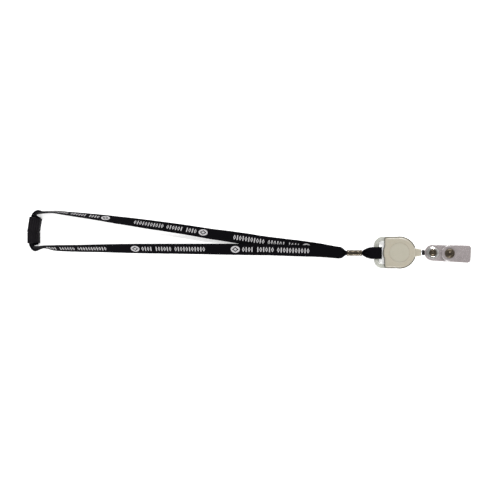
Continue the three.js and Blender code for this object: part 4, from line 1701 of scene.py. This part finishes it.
# ---------------------------------------------------------------- badge strap
@dataclass(frozen=True)
class BadgeStrap:
    """The vinyl strip folded back over itself, with a rivet at one end and a snap in the middle."""

    rivet: tuple[float, float] = (33.6, -0.2)
    yaw: float = -2.3
    snap: float = 16.2
    fold: float = 35.4
    thick: float = 0.8
    low: float = 3.4
    flap_low: float = 6.3
    half_rivet: float = 8.2
    half_fold: float = 8.8
    end_radius: float = 8.0
    fold_steps: int = 16
    bead: float = 0.16

    def place(self) -> Matrix:
        """Returns the strap's own place, with the rivet at its origin."""
        return placed((*self.rivet, 0), self.yaw, "Z")

    def line(self) -> list[tuple[float, float, float, float]]:
        """Returns [x, z, direction in degrees, length along] points along the middle of the strip.

        Returns:
            The points.
        """
        turn = (self.flap_low - self.low) / 2
        axis = self.low + self.thick / 2 + turn
        lower_start, flap_end, steps = -self.end_radius, self.snap - self.end_radius, 44
        points, run = [], 0.0
        for k in range(steps + 1):
            share = k / steps
            eased = share * share * (2 - share) if share < 1 else 1.0
            points.append((lerp(lower_start, self.fold, eased), self.low + self.thick / 2, 0.0))
        for k in range(1, self.fold_steps):
            angle = -90 + 180 * k / self.fold_steps
            x, z = turn * math.cos(math.radians(angle)), turn * math.sin(math.radians(angle))
            points.append((self.fold + x, axis + z, angle + 90))
        for k in range(steps + 1):
            share = 1 - k / steps
            eased = share * share * (2 - share) if share < 1 else 1.0
            points.append((lerp(flap_end, self.fold, eased), self.flap_low + self.thick / 2, 180.0))
        result = []
        for index, (x, z, way) in enumerate(points):
            if index:
                run += math.dist((x, z), points[index - 1][:2])
            result.append((x, z, way, run))
        return result

    def half_width(self, x: float, upper: bool) -> float:
        """Returns the strip's half width at x, round at both ends and eased at the fold's corners.

        Args:
            x: distance along from the rivet.
            upper: whether the point is on the upper layer.

        Returns:
            The half width.
        """
        end = self.snap if upper else 0.0
        half = lerp(self.half_rivet, self.half_fold, min(max(x / self.fold, 0.0), 1.0))
        if x < end:
            half *= math.sqrt(max(1 - ((end - x) / self.end_radius) ** 2, 0.0004))
        corner = max(x - (self.fold - 1.8), 0.0) / 3.4
        return half - 2.5 * corner ** 2.4

    def sink(self, x: float, across: float, upper: bool) -> float:
        """Returns how far the vinyl is pressed up or down at a point round its snap; the lower layer is not
        moved.

        Args:
            x: distance along from the rivet.
            across: distance across from the middle.
            upper: whether the point is on the upper layer.

        Returns:
            How far the point moves up.
        """
        if upper:
            away = math.hypot(x - self.snap, across)
            return -0.12 * (1 - smooth(5.0, 6.6, away)) * smooth(1.0, 4.6, away)
        return 0.0

    def strip(self, palette: Palette) -> None:
        """Builds the strip as one closed sheet that bends at its fold.

        Args:
            palette: the finishes.
        """
        samples = 26
        section = [(-1 + 2 * k / samples, 1.0) for k in range(samples + 1)] + [(1.0, 0.0)]
        section += [(1 - 2 * k / samples, -1.0) for k in range(samples + 1)] + [(-1.0, 0.0)]
        half_length = len(self.line()) // 2
        rings, lengths = [], []
        place = self.place()
        for index, (x, z, way, run) in enumerate(self.line()):
            upper = index > half_length
            angle = math.radians(way)
            normal = Vector((math.sin(angle), 0, -math.cos(angle)))
            half = self.half_width(x, upper)
            ring = []
            for across, side in section:
                off = across * half
                edge = min(half * (1 - abs(across)), 3.0)
                bead = self.bead * smooth(0.0, 0.35, edge) * (1 - smooth(0.9, 1.5, edge))
                round_off = 1 - 0.45 * (1 - smooth(0.0, 0.32, edge))
                height = side * (self.thick / 2 * round_off + (bead if side < 0 else 0.0) - bead * 0.5)
                lift = self.sink(x, off, upper)
                grow = 0.0 if side else 0.12
                point = Vector((x, off + math.copysign(grow, across), z + lift))
                ring.append(place @ (point + normal * height))
            rings.append(ring)
            lengths.append(run)
        LOG.info("vinyl strip: %.1f mm long", lengths[-1])
        half, girths = self.half_fold, []
        for index in range(len(section) + 1):
            across, _ = section[index % len(section)]
            girths.append(across * half if index <= samples else half * 2 + self.thick - across * half)
        piece = Workshop.loft(rings, "vinyl_strip", palette.vinyl, lengths, girths, sharp=60)
        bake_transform(piece)
        stand_in(piece, "strap_lower_layer", "strap_bend", "strap_flap")

    def rivet_pieces(self, palette: Palette) -> None:
        """Builds the rivet's shallow bright cap and its dark set-in middle.

        Args:
            palette: the finishes.
        """
        place, base = self.place(), 4.5
        bright = raised(base, (0.0, 0), (5.9, 0), (6.15, 0.1), (6.2, 0.28), (6.1, 0.42), (5.6, 0.62),
                        (5.0, 0.82), (4.4, 0.98), (4.1, 1.02), (3.9, 0.95), (3.75, 0.6), (3.7, 0.35),
                        (0.0, 0.35))
        rim = Workshop.turned(bright, "rivet_rim", palette.bright_nickel, place, sharp=20)
        ride(rim, Body.BADGE_STRAP, "rivet_cap")
        dark = raised(base, (0.0, 0.36), (3.6, 0.36), (3.62, 0.6), (3.4, 0.86), (2.9, 1.0), (2.3, 0.98),
                      (1.9, 0.8), (1.5, 0.72), (0.9, 0.86), (0.0, 0.95))
        ride(Workshop.turned(dark, "rivet_middle", palette.aged_metal, place), Body.BADGE_STRAP)
        dress("rivet_post", palette.bright_nickel)

    def snap_pieces(self, palette: Palette) -> None:
        """Builds the snap's ringed cap over the flap.

        Args:
            palette: the finishes.
        """
        place = self.place() @ Matrix.Translation((self.snap, 0, 0))
        base = self.flap_low + self.thick
        cap = [(0.0, self.flap_low), (1.3, self.flap_low)]
        cap += raised(base, (1.3, 0.1), (4.6, 0.1), (4.85, 0.2), (4.9, 0.45), (4.75, 0.8), (4.3, 1.1),
                      (3.8, 1.28), (3.2, 1.34), (2.7, 1.2), (2.4, 0.9), (2.2, 0.62), (1.9, 0.6),
                      (1.3, 0.78), (0.7, 0.9), (0.0, 0.94))
        button = Workshop.turned(cap, "snap_button", palette.aged_metal, place)
        ride(button, Body.STRAP_FLAP, "snap_cap")
        for node in ("snap_post", "snap_stud", "snap_socket"):
            dress(node, palette.nickel)

    def build(self, palette: Palette) -> None:
        """Builds the strap and its fittings.

        Args:
            palette: the finishes.
        """
        self.strip(palette)
        self.rivet_pieces(palette)
        self.snap_pieces(palette)


def corners(box: tuple[Vector, Vector]) -> list[list[float]]:
    """Returns a box's two corners as plain lists."""
    return [[round(value, 6) for value in corner] for corner in box]


def main() -> None:
    """Builds the studio and every sub-assembly."""
    logging.basicConfig(level=logging.INFO, format="%(message)s")
    Studio().build()
    palette = Palette()
    for assembly in (NeckStrap(), ReelLoop(), Crimp(), BreakawayClasp(), ReelCasing(), ReelFace(),
                     ReelWorks(), CordEnd(), BadgeStrap()):
        LOG.info("== %s", type(assembly).__name__)
        assembly.build(palette)
    {"cad": corners(CAD_BOX), "visual": corners(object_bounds())}


if __name__ == "__main__":
    main()
